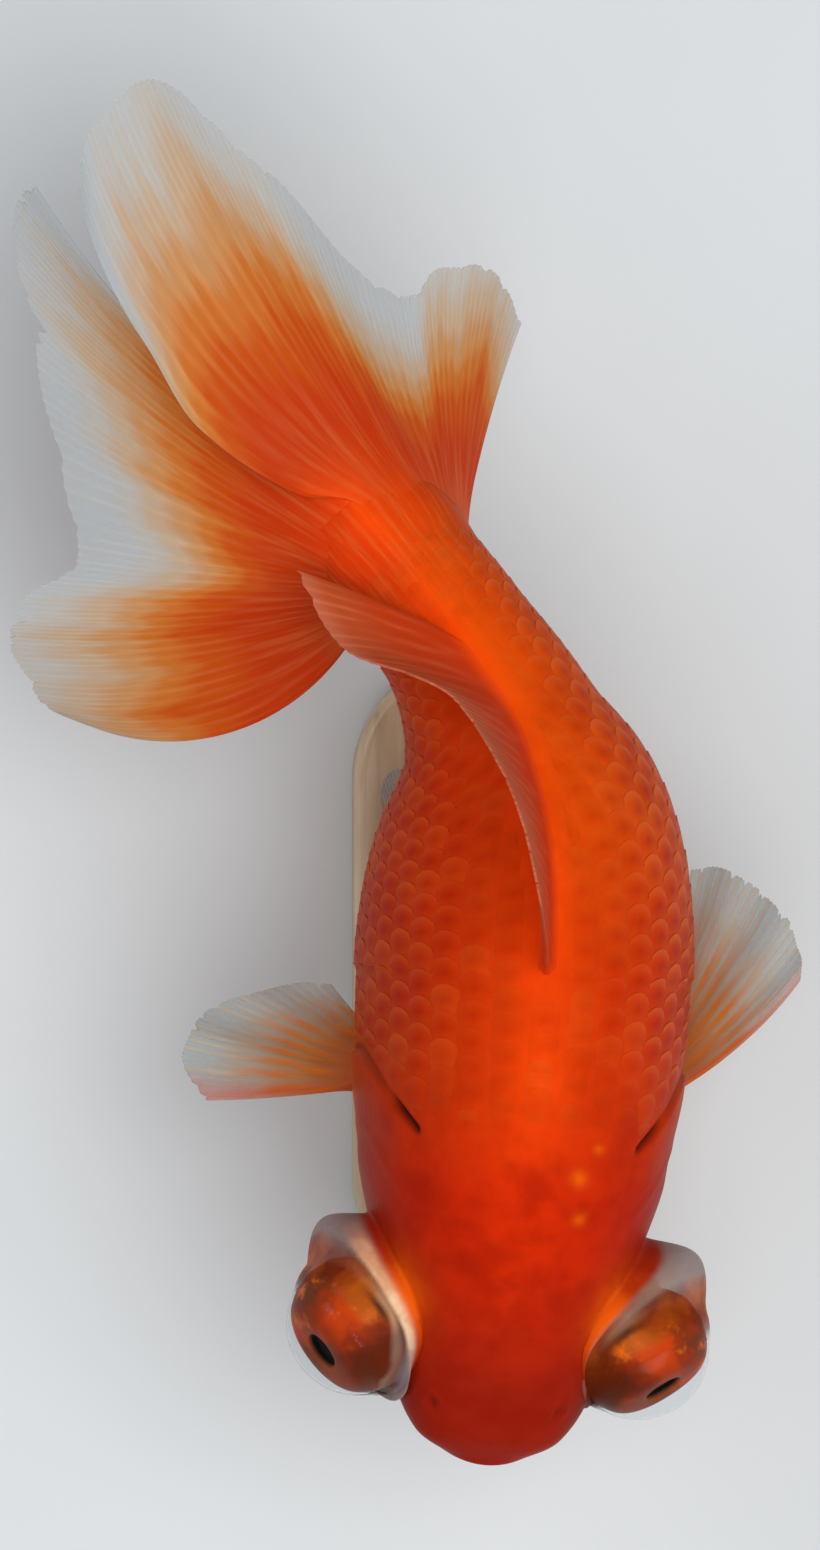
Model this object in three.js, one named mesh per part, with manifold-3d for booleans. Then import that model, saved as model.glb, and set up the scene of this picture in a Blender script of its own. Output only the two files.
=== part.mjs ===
// A telescope goldfish of life size, fixed on a plain display stand as it turns in the water.
//
// Millimetres, +Z up. The head points to -Y and the tail sweeps round to -X, so the fish's own left is +X.
// The origin is the middle of the stand's underside.
//
// The body is one loft along a bent spine, parted by thin cuts into head, gill covers, trunk and tail stock.
// A fin is a fan of rays: a few key rays say how long it is and where it points, and the rest lie between them.

import * as THREE from "three";
import { mergeVertices } from "three/addons/utils/BufferGeometryUtils.js";
import Module from "manifold-3d";

// ---------------------------------------------------------------- driving dimensions

const SPINE_LENGTH = 102; // snout to the end of the tail stock, along the bend
const SNOUT = { x: -1.9, y: -48.6, z: 38 }; // the tip of the snout
const SNOUT_LENGTH = 12; // the part that is rounded off like the end of an egg
const HEAD_YAW = -5.3; // degrees that the head is turned from the trunk
const TAIL_BEND = 40; // degrees that the tail stock is turned from the trunk
const BELLY = { at: 50, rear: 28, halfWidth: 16.9, drop: 20, level: 36, fullness: 2.4 }; // the round abdomen, by its middle

const EYE = { at: 13.6, out: 14.1, level: 39.5, radius: 7.2, iris: 5.1, back: -2.5, forward: 47, squint: 7, up: 20 };
const SOCKET = { at: 16.1, along: 8.4, tall: 8.2, level: 38 }; // the oval where the eye's bulb leaves the head

const GILL = { at: 31.5, level: 38, along: 10, tall: 15, lean: 4, depth: 4.2, flare: 0.3 }; // the gill cover's oval

const CUT = 0.3; // width of the thin cuts between pieces
const FIN_THICKNESS = 0.7;
const FIN_ROOT_THICKNESS = 1.5;
const FORK_SLIT = 0.012; // half of the slit in a tail fin's fork, as a share of the fan

const STAND = { length: 66, width: 25, height: 5, rodRadius: 2, rodAt: 48 };

const HEAD_END = 34; // the cut between head and trunk, as a distance along the spine
const TRUNK_END = 79; // the cut between trunk and tail stock

// ---------------------------------------------------------------- small mathematics

const radians = THREE.MathUtils.degToRad;
const { smoothstep, lerp } = THREE.MathUtils;

// The larger of two values, with the corner between them rounded over a width k.
function smoothMax(a, b, k) {
  const near = Math.max(k - Math.abs(a - b), 0) / k;
  return Math.max(a, b) + (near * near * k) / 4;
}

// A smooth function through [at, value] pairs that never swings past them (a monotone cubic).
function curveThrough(pairs) {
  const slopes = pairs.slice(1).map(([x, y], i) => (y - pairs[i][1]) / (x - pairs[i][0]));
  const tangents = pairs.map((_, i) => {
    const before = slopes[Math.max(i - 1, 0)];
    const after = slopes[Math.min(i, slopes.length - 1)];
    return before * after > 0 ? (2 * before * after) / (before + after) : 0;
  });
  return (x) => {
    let i = 0;
    while (i < pairs.length - 2 && x > pairs[i + 1][0]) i++;
    const [x0, y0] = pairs[i];
    const [x1, y1] = pairs[i + 1];
    const t = THREE.MathUtils.clamp((x - x0) / (x1 - x0), 0, 1);
    const span = x1 - x0;
    return (
      y0 * (1 + 2 * t) * (1 - t) ** 2 +
      y1 * t * t * (3 - 2 * t) +
      span * tangents[i] * t * (1 - t) ** 2 -
      span * tangents[i + 1] * t * t * (1 - t)
    );
  };
}

// The level direction that a heading in degrees points to: 0 is +Y, towards the tail, and 90 is -X.
function headingVector(degrees) {
  return new THREE.Vector3(-Math.sin(radians(degrees)), Math.cos(radians(degrees)), 0);
}

// ---------------------------------------------------------------- the spine and the body's surface

// The spine's heading: the head is turned a little one way, and the tail stock far the other way.
function spineHeading(s) {
  return HEAD_YAW * (1 - smoothstep(s, 30, 68)) + TAIL_BEND * smoothstep(s, 52, 96);
}

const SPINE_STEP = 0.5;
const spinePoints = [new THREE.Vector3(SNOUT.x, SNOUT.y, 0)];
for (let s = 0; s < SPINE_LENGTH + 10; s += SPINE_STEP) {
  const step = headingVector(spineHeading(s + SPINE_STEP / 2)).multiplyScalar(SPINE_STEP);
  spinePoints.push(spinePoints.at(-1).clone().add(step));
}

// The spine's place in plan at a distance s from the snout, with the directions to the tail and to the fish's left.
function spineFrame(s) {
  const place = s / SPINE_STEP;
  const i = THREE.MathUtils.clamp(Math.floor(place), 0, spinePoints.length - 2);
  const point = spinePoints[i].clone().lerp(spinePoints[i + 1], place - i);
  const back = headingVector(spineHeading(s));
  const left = new THREE.Vector3(back.y, -back.x, 0);
  return { point, back, left };
}

// Half the width, and the levels of the back, the widest part and the underside, along the spine.
const coreHalfWidth = curveThrough([
  [0, 10.2], [12, 10.5], [22, 13.2], [31, 15.6], [41, 16.7], [50, 16.9], [60, 15.6], [70, 12],
  [79, 9.2], [86, 8], [93, 7.8], [102, 8.7], [112, 9.2],
]);
const backLevel = curveThrough([
  [0, 43], [12, 48], [24, 54], [36, 58.5], [48, 60.5], [60, 59.8], [72, 56.4], [84, 53], [95, 51.4], [112, 51.4],
]);
const sideLevel = curveThrough([[0, 38], [20, 37], [50, 34.5], [66, 37], [80, 42.5], [112, 43.4]]);
const coreUnderside = curveThrough([
  [0, 32], [12, 27.5], [25, 21.5], [38, 17], [50, 16], [62, 19], [74, 28], [84, 34], [95, 36], [112, 36],
]);
const upperFullness = curveThrough([[0, 2.2], [20, 2.35], [45, 1.9], [80, 2], [112, 2]]);
const LOWER_FULLNESS = 2.1;

function bodySizes(s, grow) {
  // The snout is rounded off, and behind the belly's middle the abdomen is an ellipse in plan and from the side.
  const nose = Math.sqrt(Math.max(1 - (1 - Math.min(s / SNOUT_LENGTH, 1)) ** 2, 0));
  const along = Math.min(Math.max((s - BELLY.at) / BELLY.rear, 0), 1);
  const abdomen = s < BELLY.at ? 0 : (1 - along ** BELLY.fullness) ** (1 / BELLY.fullness);
  const halfWidth = smoothMax(coreHalfWidth(s), BELLY.halfWidth * abdomen, 1.2);
  const underside = -smoothMax(-coreUnderside(s), BELLY.drop * abdomen - BELLY.level, 2);
  const middle = sideLevel(s);
  return {
    halfWidth: halfWidth * nose + grow,
    up: (backLevel(s) - middle) * nose + grow,
    down: (middle - underside) * nose + grow,
    middle,
  };
}

// A point of the body's surface: angle 0 is the ridge of the back, 90 the fish's left side, 180 the belly.
// Each section is two half ellipses, drawn fuller or leaner by their exponents.
function bodyPoint(s, degrees, grow = 0) {
  const { halfWidth, up, down, middle } = bodySizes(s, grow);
  const { point, left } = spineFrame(s);
  const c = Math.cos(radians(degrees));
  const d = Math.sin(radians(degrees));
  const power = 2 / (c > 0 ? upperFullness(s) : LOWER_FULLNESS);
  const side = halfWidth * Math.sign(d) * Math.abs(d) ** power;
  const height = (c > 0 ? up : down) * Math.sign(c) * Math.abs(c) ** power;
  return point.addScaledVector(left, side).setZ(middle + height);
}

// The body's side at a distance along the spine and a level; side is 1 for the fish's left and -1 for its right.
function flankPoint(s, level, side, grow = 0) {
  const { halfWidth, up, down, middle } = bodySizes(s, grow);
  const above = level > middle;
  const n = above ? upperFullness(s) : LOWER_FULLNESS;
  const share = Math.min(Math.abs(level - middle) / (above ? up : down), 1);
  const { point, left } = spineFrame(s);
  return point.addScaledVector(left, side * halfWidth * (1 - share ** n) ** (1 / n)).setZ(level);
}

// ---------------------------------------------------------------- making and cutting solids

const wasm = await Module();
wasm.setup();

function solidOf(geometry) {
  const merged = mergeVertices(geometry, 1e-4);
  return new wasm.Manifold(
    new wasm.Mesh({
      numProp: 3,
      vertProperties: new Float32Array(merged.attributes.position.array),
      triVerts: new Uint32Array(merged.index.array),
    }),
  );
}

function geometryOf(solid) {
  const made = solid.getMesh();
  const geometry = new THREE.BufferGeometry();
  geometry.setAttribute("position", new THREE.BufferAttribute(made.vertProperties, 3));
  geometry.setIndex(new THREE.BufferAttribute(made.triVerts, 1));
  geometry.computeVertexNormals();
  return geometry;
}

// The biggest piece of a solid that a cut may have left in crumbs.
function largest(solid) {
  return solid.decompose().reduce((a, b) => (a.volume() > b.volume() ? a : b));
}

function fromFaces(points, faces) {
  const geometry = new THREE.BufferGeometry();
  geometry.setAttribute("position", new THREE.Float32BufferAttribute(points.flatMap((p) => p.toArray()), 3));
  geometry.setIndex(faces.flat());
  let solid = solidOf(geometry);
  if (solid.volume() < 0) {
    geometry.setIndex(faces.map(([a, b, c]) => [a, c, b]).flat());
    solid = solidOf(geometry);
  }
  return solid;
}

// A closed solid through rings of points, each with the same count, with a fan of triangles over each end.
function ringLoft(rings) {
  const count = rings[0].length;
  const points = rings.flat();
  const faces = [];
  for (let r = 0; r < rings.length - 1; r++) {
    for (let k = 0; k < count; k++) {
      const a = r * count + k;
      const b = r * count + ((k + 1) % count);
      faces.push([a, b, a + count], [b, b + count, a + count]);
    }
  }
  for (const [ring, start, turn] of [[rings[0], 0, 1], [rings.at(-1), points.length - count, -1]]) {
    const middle = ring.reduce((sum, p) => sum.add(p), new THREE.Vector3()).divideScalar(count);
    const centre = points.push(middle) - 1;
    for (let k = 0; k < count; k++) {
      const a = start + k;
      const b = start + ((k + 1) % count);
      faces.push(turn > 0 ? [centre, b, a] : [centre, a, b]);
    }
  }
  return fromFaces(points, faces);
}

// ---------------------------------------------------------------- the body

const RING_POINTS = 24;

function bodyLoft(grow = 0, from = 0, to = SPINE_LENGTH + grow) {
  const stations = [0.2, 0.8, 2, 4, 6.5, 9.5].filter((s) => s > from);
  for (let s = Math.max(from, 13); s < to; s += 3.4) stations.push(s);
  stations.push(to);
  const rings = stations.map((s) => {
    const ahead = spineFrame(s).back.multiplyScalar(-grow * (1 - smoothstep(s, 0, SNOUT_LENGTH)));
    return Array.from({ length: RING_POINTS }, (_, k) => bodyPoint(s, (k * 360) / RING_POINTS, grow).add(ahead));
  });
  return ringLoft(rings);
}

// A block that holds everything between two distances along the spine, for cutting the body into lengths.
function lengthBlock(from, to) {
  const corner = (s, side, up) => {
    const { point, left } = spineFrame(s);
    return point.addScaledVector(left, side * 40).setZ(up);
  };
  return ringLoft([from, to].map((s) => [[-1, 0], [1, 0], [1, 90], [-1, 90]].map(([a, z]) => corner(s, a, z))));
}

// The gill cover's outline from the side is an oval that leans back, from the cheek to just behind the head.

function gillBlock(side, grow) {
  const ring = (inward) =>
    Array.from({ length: 24 }, (_, k) => {
      const turn = radians(k * 15);
      const s = GILL.at + (GILL.along + grow) * Math.cos(turn) + GILL.lean * Math.sin(turn);
      const level = GILL.level + (GILL.tall + grow) * Math.sin(turn);
      const { left } = spineFrame(s);
      return flankPoint(s, level, side).addScaledVector(left, -side * inward);
    });
  return ringLoft([ring(GILL.depth + grow), ring(-6)]);
}

const wholeBody = bodyLoft();
const grownBody = bodyLoft(CUT);
const gillShell = bodyLoft(GILL.flare, 12);

// ---------------------------------------------------------------- the eyes

// The eye's middle, its axis of sight and two directions square to that axis, towards the tail and upwards.
function eyeFrame(side) {
  const { point, back, left } = spineFrame(EYE.at);
  const out = left.clone().multiplyScalar(side);
  const centre = point.clone().addScaledVector(out, EYE.out).setZ(EYE.level);
  const level = Math.cos(radians(EYE.up));
  const forward = radians(EYE.forward + side * EYE.squint);
  const axis = out
    .clone()
    .multiplyScalar(Math.cos(forward) * level)
    .addScaledVector(back, -Math.sin(forward) * level)
    .setZ(Math.sin(radians(EYE.up)));
  const rear = back.clone().addScaledVector(axis, -back.dot(axis)).normalize();
  const upward = new THREE.Vector3(0, 0, 1).addScaledVector(axis, -axis.z);
  upward.addScaledVector(rear, -upward.dot(rear)).normalize();
  return { centre, axis, rear, upward, out };
}

// A stretch of the eye's ball between two planes square to its axis, as a lathe turned to face along it.
function eyeSlice(side, from, to, grow = 0) {
  const radius = EYE.radius + grow;
  const start = Math.acos(THREE.MathUtils.clamp(from / radius, -1, 1));
  const end = Math.acos(THREE.MathUtils.clamp(to / radius, -1, 1));
  const profile = [new THREE.Vector2(0, from)];
  const STEPS = 5;
  for (let k = 0; k <= STEPS; k++) {
    const a = lerp(start, end, k / STEPS);
    profile.push(new THREE.Vector2(radius * Math.sin(a), radius * Math.cos(a)));
  }
  if (to < radius) profile.push(new THREE.Vector2(0, to));
  const { centre, axis } = eyeFrame(side);
  const geometry = new THREE.LatheGeometry(profile, 20);
  geometry.deleteAttribute("normal");
  geometry.deleteAttribute("uv");
  geometry.applyQuaternion(new THREE.Quaternion().setFromUnitVectors(new THREE.Vector3(0, 1, 0), axis));
  geometry.translate(...centre.toArray());
  return solidOf(geometry);
}

// The fleshy bulb round the eye: from an oval on the head, each meridian is a Bezier curve out to the ball's equator.
function socketBulb(side) {
  const { centre, axis, rear, upward, out } = eyeFrame(side);
  const COUNT = 20;
  const STEPS = 4;
  const rings = Array.from({ length: STEPS + 2 }, () => []);
  for (let k = 0; k < COUNT; k++) {
    const turn = (k / COUNT) * 2 * Math.PI;
    const s = SOCKET.at + SOCKET.along * Math.cos(turn);
    const level = SOCKET.level + SOCKET.tall * Math.sin(turn);
    const root = flankPoint(s, level, side);
    const spoke = rear.clone().multiplyScalar(Math.cos(turn)).addScaledVector(upward, Math.sin(turn));
    const rim = centre.clone().addScaledVector(spoke, EYE.radius * 1.01);
    const span = root.distanceTo(rim);
    const curve = new THREE.CubicBezierCurve3(
      root,
      root.clone().addScaledVector(out, 0.75 * span),
      rim.clone().addScaledVector(axis, -0.4 * span).addScaledVector(spoke, 0.2 * span),
      rim,
    );
    rings[0].push(root.clone().addScaledVector(out, -2));
    curve.getPoints(STEPS).forEach((p, i) => rings[i + 1].push(p));
  }
  return ringLoft(rings);
}

// ---------------------------------------------------------------- fins

// A fin's middle surface. u runs from the first ray to the last, and v along a ray from root to tip.
// Each ray starts on its heading and rise, and turns steadily by its curl and its sag on the way out.
function fanSurface(fin) {
  const column = (name) => curveThrough(fin.rays.map((ray) => [ray.at, ray[name]]));
  const [heading, curl, rise, sag, length] = ["heading", "curl", "rise", "sag", "length"].map(column);
  const { amount = 0, waves = 2, phase = 0 } = fin.ripple ?? {};
  return (u, v) => {
    const STEPS = 12;
    const p = fin.root(u);
    for (let k = 0; k < STEPS; k++) {
      const t = ((k + 0.5) / STEPS) * v;
      const up = radians(rise(u) - sag(u) * t);
      const step = (length(u) * v) / STEPS;
      p.addScaledVector(headingVector(heading(u) + curl(u) * t), step * Math.cos(up));
      p.z += step * Math.sin(up);
    }
    p.z += amount * v * v * Math.sin(2 * Math.PI * (waves * u + phase));
    return p;
  };
}

// A closed thin solid on both sides of a surface, thick at the root and thin at the tips.
function finSolid(fin, from = 0, to = 1, grow = 0) {
  const surface = fanSurface(fin);
  const across = Math.max(3, Math.round(fin.across * (to - from)));
  const along = fin.along;
  const upper = [];
  const lower = [];
  for (let j = 0; j <= along; j++) {
    for (let i = 0; i <= across; i++) {
      const u = lerp(from, to, i / across);
      const v = j / along;
      const du = surface(Math.min(u + 0.01, 1), v).sub(surface(Math.max(u - 0.01, 0), v));
      const dv = surface(u, Math.min(v + 0.01, 1)).sub(surface(u, Math.max(v - 0.01, 0)));
      const normal = du.cross(dv).normalize();
      const half = lerp(FIN_ROOT_THICKNESS, FIN_THICKNESS, Math.sqrt(v)) / 2 + grow;
      upper.push(surface(u, v).addScaledVector(normal, half));
      lower.push(surface(u, v).addScaledVector(normal, -half));
    }
  }
  const row = across + 1;
  const points = [...upper, ...lower];
  const faces = [];
  const quad = (a, b, c, d) => faces.push([a, b, c], [a, c, d]);
  for (let j = 0; j < along; j++) {
    for (let i = 0; i < across; i++) {
      const a = j * row + i;
      quad(a, a + 1, a + row + 1, a + row);
      const b = a + upper.length;
      quad(b, b + row, b + row + 1, b + 1);
    }
  }
  for (let i = 0; i < across; i++) {
    const last = along * row + i;
    quad(i + upper.length, i + 1 + upper.length, i + 1, i);
    quad(last, last + 1, last + 1 + upper.length, last + upper.length);
  }
  for (let j = 0; j < along; j++) {
    const first = j * row;
    const end = first + across;
    quad(first, first + row, first + row + upper.length, first + upper.length);
    quad(end + upper.length, end + row + upper.length, end + row, end);
  }
  return fromFaces(points, faces);
}

// A root that runs along the body's surface, between two distances and two angles round the body.
function bodyRoot([fromS, fromAngle], [toS, toAngle], sink = 0.8) {
  return (u) => bodyPoint(lerp(fromS, toS, u), lerp(fromAngle, toAngle, u), -sink);
}

const ray = (at, length, heading, curl, rise, sag) => ({ at, length, heading, curl, rise, sag });

const DORSAL = {
  root: bodyRoot([50, 0], [84, 0]),
  rays: [
    ray(0, 19.5, 17, 0, 72, 10),
    ray(0.25, 18, 30, 6, 75, 14),
    ray(0.5, 14.5, 41, 12, 69, 22),
    ray(0.7, 12, 54, 14, 61, 30),
    ray(0.85, 16, 66, 20, 28, 28),
    ray(1, 19, 63, 8, 8, 16),
  ],
  ripple: { amount: 0.3, waves: 3 },
  across: 15,
  along: 5,
};

// Each caudal fin springs from the top of the tail stock's end and runs forward down its side.
const CAUDAL_LEFT = {
  root: bodyRoot([102, 0], [92, 112]),
  rays: [
    ray(0, 43.5, 73, -62, 18, 32),
    ray(0.12, 47.5, 55, -36, 14, 22),
    ray(0.25, 48.5, 39, -16, 12, 16),
    ray(0.4, 39, 32, -10, 10, 16),
    ray(0.55, 26, 25, -10, 6, 18),
    ray(0.64, 22, 15, -8, 2, 18),
    ray(0.76, 25.5, 6, -8, -2, 16),
    ray(0.88, 27.5, -3, -10, -6, 14),
    ray(1, 24.5, -11, -12, -12, 12),
  ],
  ripple: { amount: 0.8, waves: 2.5, phase: 0.1 },
  fork: 0.64,
  across: 19,
  along: 7,
};

const CAUDAL_RIGHT = {
  root: bodyRoot([102, -4], [92, -112]),
  rays: [
    ray(0, 46, 60, -30, -4, 12),
    ray(0.1, 47, 58, -24, -6, 12),
    ray(0.25, 41, 60, -16, -8, 12),
    ray(0.4, 33, 70, -12, -8, 16),
    ray(0.5, 27, 87, -8, -8, 18),
    ray(0.62, 33, 97, -12, -9, 18),
    ray(0.75, 35.5, 108, -24, -10, 18),
    ray(0.88, 35, 129, -50, -10, 18),
    ray(1, 35, 154, -92, -10, 18),
  ],
  ripple: { amount: 1, waves: 2.5, phase: 0.45 },
  fork: 0.5,
  across: 19,
  along: 7,
};

const PECTORAL_LEFT = {
  root: bodyRoot([38, 108], [43, 122]),
  rays: [
    ray(0, 20, -64, 26, -8, 8),
    ray(0.25, 21.5, -54, 16, -8, 8),
    ray(0.5, 22.5, -43, 12, -10, 8),
    ray(0.75, 22.5, -32, 10, -14, 8),
    ray(1, 20.5, -21, 8, -18, 8),
  ],
  ripple: { amount: 0.5, waves: 3 },
  across: 9,
  along: 6,
};

const PECTORAL_RIGHT = {
  root: bodyRoot([37, -108], [42, -122]),
  rays: [
    ray(0, 16.5, 99, -8, -6, 6),
    ray(0.2, 19, 86, -8, -8, 6),
    ray(0.45, 18, 77, -8, -10, 8),
    ray(0.7, 13.5, 65, -8, -14, 8),
    ray(1, 8, 41, -4, -24, 8),
  ],
  ripple: { amount: 0.5, waves: 3, phase: 0.3 },
  across: 9,
  along: 6,
};

// The pelvic fins are held back under the belly, and each anal fin hangs from its own side of the tail stock.
function pelvicFin(side) {
  return {
    root: bodyRoot([52, side * 152], [57, side * 166]),
    rays: [
      ray(0, 17.5, side * -23, side * 8, -23, 8),
      ray(0.35, 19.3, side * -20, side * 6, -25, 8),
      ray(0.7, 17, side * -12, side * 2, -29, 8),
      ray(1, 10.6, side * -5, 0, -33, 8),
    ],
    ripple: { amount: 0.4, waves: 2 },
    across: 8,
    along: 5,
  };
}

function analFin(side) {
  return {
    root: bodyRoot([78, side * 160], [86, side * 164]),
    rays: [
      ray(0, 12, 26 - side * 16, 0, -52, 6),
      ray(0.4, 13.5, 30 - side * 16, 0, -44, 6),
      ray(1, 10, 36 - side * 10, 0, -32, 6),
    ],
    ripple: { amount: 0.3, waves: 2 },
    across: 6,
    along: 4,
  };
}

// ---------------------------------------------------------------- mouth and stand

// The lips: a flattened ring round the snout's tip, tipped up a little.
function lips(grow = 0) {
  const geometry = new THREE.TorusGeometry(3, 1.1 + grow, 6, 14);
  geometry.deleteAttribute("normal");
  geometry.deleteAttribute("uv");
  geometry.scale(1.2, 0.6, 1);
  geometry.rotateX(radians(90 + 15));
  geometry.rotateZ(radians(HEAD_YAW));
  const { back } = spineFrame(0);
  geometry.translate(SNOUT.x + back.x, SNOUT.y + back.y, SNOUT.z - 1);
  return solidOf(geometry);
}

function standBase() {
  const half = (STAND.length - STAND.width) / 2;
  const radius = STAND.width / 2 - 1;
  const outline = new THREE.Shape();
  outline.absarc(0, half, radius, 0, Math.PI);
  outline.absarc(0, -half, radius, Math.PI, 2 * Math.PI);
  const geometry = new THREE.ExtrudeGeometry(outline, {
    depth: STAND.height - 2,
    bevelThickness: 1,
    bevelSize: 1,
    bevelSegments: 1,
    curveSegments: 12,
  });
  geometry.deleteAttribute("normal");
  geometry.deleteAttribute("uv");
  geometry.translate(0, 0, 1);
  return solidOf(geometry);
}

// The rod stands on the base and runs up into the belly, where the body's own shape cuts it off.
function standRod() {
  const { point } = spineFrame(STAND.rodAt);
  const top = bodyPoint(STAND.rodAt, 180).z + 2;
  const bottom = STAND.height + 0.05;
  const geometry = new THREE.CylinderGeometry(STAND.rodRadius, STAND.rodRadius, top - bottom, 20);
  geometry.deleteAttribute("normal");
  geometry.deleteAttribute("uv");
  geometry.rotateX(Math.PI / 2);
  geometry.translate(point.x, point.y, (top + bottom) / 2);
  return solidOf(geometry);
}

// ---------------------------------------------------------------- the pieces and their colours

const finish = (color, roughness = 0.35, more = {}) =>
  new THREE.MeshStandardMaterial({ color, roughness, metalness: 0, ...more });
const FLESH = finish(0xd8320c);
const GILL_RED = finish(0xb0200c, 0.3);
const FIN = finish(0xd0551c, 0.4, { transparent: true, opacity: 0.85 });
const BULB = finish(0xc9a596, 0.25);
const IRIS = finish(0x8a3410, 0.2);
const CORNEA = finish(0xdde6ea, 0.05, { transparent: true, opacity: 0.3 });
const WOOD = finish(0xc8ac88, 0.5);
const STEEL = finish(0xb9bcc0, 0.25, { metalness: 1 });

const fish = new THREE.Group();

function add(name, solid, material) {
  const mesh = new THREE.Mesh(geometryOf(largest(solid)), material);
  mesh.name = name;
  fish.add(mesh);
}

const SIDES = [["left", 1], ["right", -1]];
const balls = SIDES.map(([, side]) => eyeSlice(side, EYE.back - CUT, EYE.radius + CUT, CUT));
const gillGaps = SIDES.map(([, side]) => gillBlock(side, CUT));

let flesh = wholeBody;
for (const cutter of [...balls, ...gillGaps, lips(CUT)]) flesh = flesh.subtract(cutter);
const grownGills = bodyLoft(CUT + GILL.flare, 12);

add("head", flesh.intersect(lengthBlock(-2, HEAD_END - CUT / 2)), FLESH);
add("trunk", flesh.intersect(lengthBlock(HEAD_END + CUT / 2, TRUNK_END - CUT / 2)), FLESH);
add("tail_stock", flesh.intersect(lengthBlock(TRUNK_END + CUT / 2, SPINE_LENGTH + 1)), FLESH);
add("mouth", lips(), FLESH);

SIDES.forEach(([name, side], i) => {
  const bulb = socketBulb(side).subtract(grownBody).subtract(grownGills).subtract(balls[i]);
  add("gill_cover_" + name, gillShell.intersect(gillBlock(side, 0)), GILL_RED);
  add("eye_socket_" + name, bulb, BULB);
  add("eye_" + name, eyeSlice(side, EYE.back, EYE.iris), IRIS);
  add("eye_cornea_" + name, eyeSlice(side, EYE.iris + CUT, EYE.radius), CORNEA);
});

const outsideBody = (solid) => solid.subtract(grownBody).subtract(grownGills);

add("dorsal_fin", outsideBody(finSolid(DORSAL)), FIN);
const overlying = finSolid(CAUDAL_LEFT, 0, CAUDAL_LEFT.fork, CUT);
for (const [name, fin] of [["left", CAUDAL_LEFT], ["right", CAUDAL_RIGHT]]) {
  const upper = outsideBody(finSolid(fin, 0, fin.fork - FORK_SLIT));
  add("caudal_fin_" + name + "_upper", name === "right" ? upper.subtract(overlying) : upper, FIN);
  add("caudal_fin_" + name + "_lower", outsideBody(finSolid(fin, fin.fork + FORK_SLIT, 1)), FIN);
}
for (const [name, fin] of [
  ["pectoral_fin_left", PECTORAL_LEFT],
  ["pectoral_fin_right", PECTORAL_RIGHT],
  ["pelvic_fin_left", pelvicFin(1)],
  ["pelvic_fin_right", pelvicFin(-1)],
  ["anal_fin_left", analFin(1)],
  ["anal_fin_right", analFin(-1)],
]) {
  add(name, outsideBody(finSolid(fin)), FIN);
}

add("stand_base", standBase(), WOOD);
add("stand_rod", standRod().subtract(grownBody), STEEL);

export default fish;
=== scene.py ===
# %% [markdown]
# # A telescope goldfish of life size, on its display stand
#
# This file dresses a ready CAD model of a goldfish. The CAD gives the true sizes and the plain
# solids. Here the fish gets one seamless skin, its coat of scales, translucent fins with rays, glassy
# eyes, and a wood and steel stand. Every surface is worked out with numpy from the same driving
# dimensions that the CAD uses, in millimetres, and brought to metres only when it becomes a mesh. The
# head points to -Y and the fish's own left side is +X.

import math

import bpy
import numpy as np
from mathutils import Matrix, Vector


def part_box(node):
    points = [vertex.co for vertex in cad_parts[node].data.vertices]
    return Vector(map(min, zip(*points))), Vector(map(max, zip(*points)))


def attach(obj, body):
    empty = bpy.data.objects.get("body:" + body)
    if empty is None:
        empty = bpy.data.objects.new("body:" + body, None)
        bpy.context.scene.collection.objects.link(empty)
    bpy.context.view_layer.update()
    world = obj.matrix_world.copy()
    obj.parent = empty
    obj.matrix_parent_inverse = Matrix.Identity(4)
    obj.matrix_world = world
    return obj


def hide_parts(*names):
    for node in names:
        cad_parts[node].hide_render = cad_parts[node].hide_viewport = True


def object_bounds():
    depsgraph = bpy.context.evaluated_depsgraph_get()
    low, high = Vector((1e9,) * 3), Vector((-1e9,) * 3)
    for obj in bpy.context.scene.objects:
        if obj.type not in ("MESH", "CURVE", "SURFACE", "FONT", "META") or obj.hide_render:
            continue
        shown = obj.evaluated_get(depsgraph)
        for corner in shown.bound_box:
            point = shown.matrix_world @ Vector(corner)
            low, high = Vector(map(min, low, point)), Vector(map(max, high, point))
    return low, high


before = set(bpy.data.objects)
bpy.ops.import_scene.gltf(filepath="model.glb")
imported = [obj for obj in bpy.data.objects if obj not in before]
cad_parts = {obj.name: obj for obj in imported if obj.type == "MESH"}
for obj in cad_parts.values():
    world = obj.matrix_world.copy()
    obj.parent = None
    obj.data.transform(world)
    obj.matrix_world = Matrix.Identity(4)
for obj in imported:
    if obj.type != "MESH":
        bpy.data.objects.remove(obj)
cad_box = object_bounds()
low, high = (np.array(corner) * 1000 for corner in cad_box)
print("CAD box in mm:", low.round(2), high.round(2))

# %% [markdown]
# ## Driving dimensions
# These repeat the model's own sizes, so that the skin lies just inside the solids. `s` is always the
# distance from the snout along the bent spine, and an angle round the body is 0 on the ridge of the
# back, 90 on the fish's left side, 180 under the belly and 270 on its right side.

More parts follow.
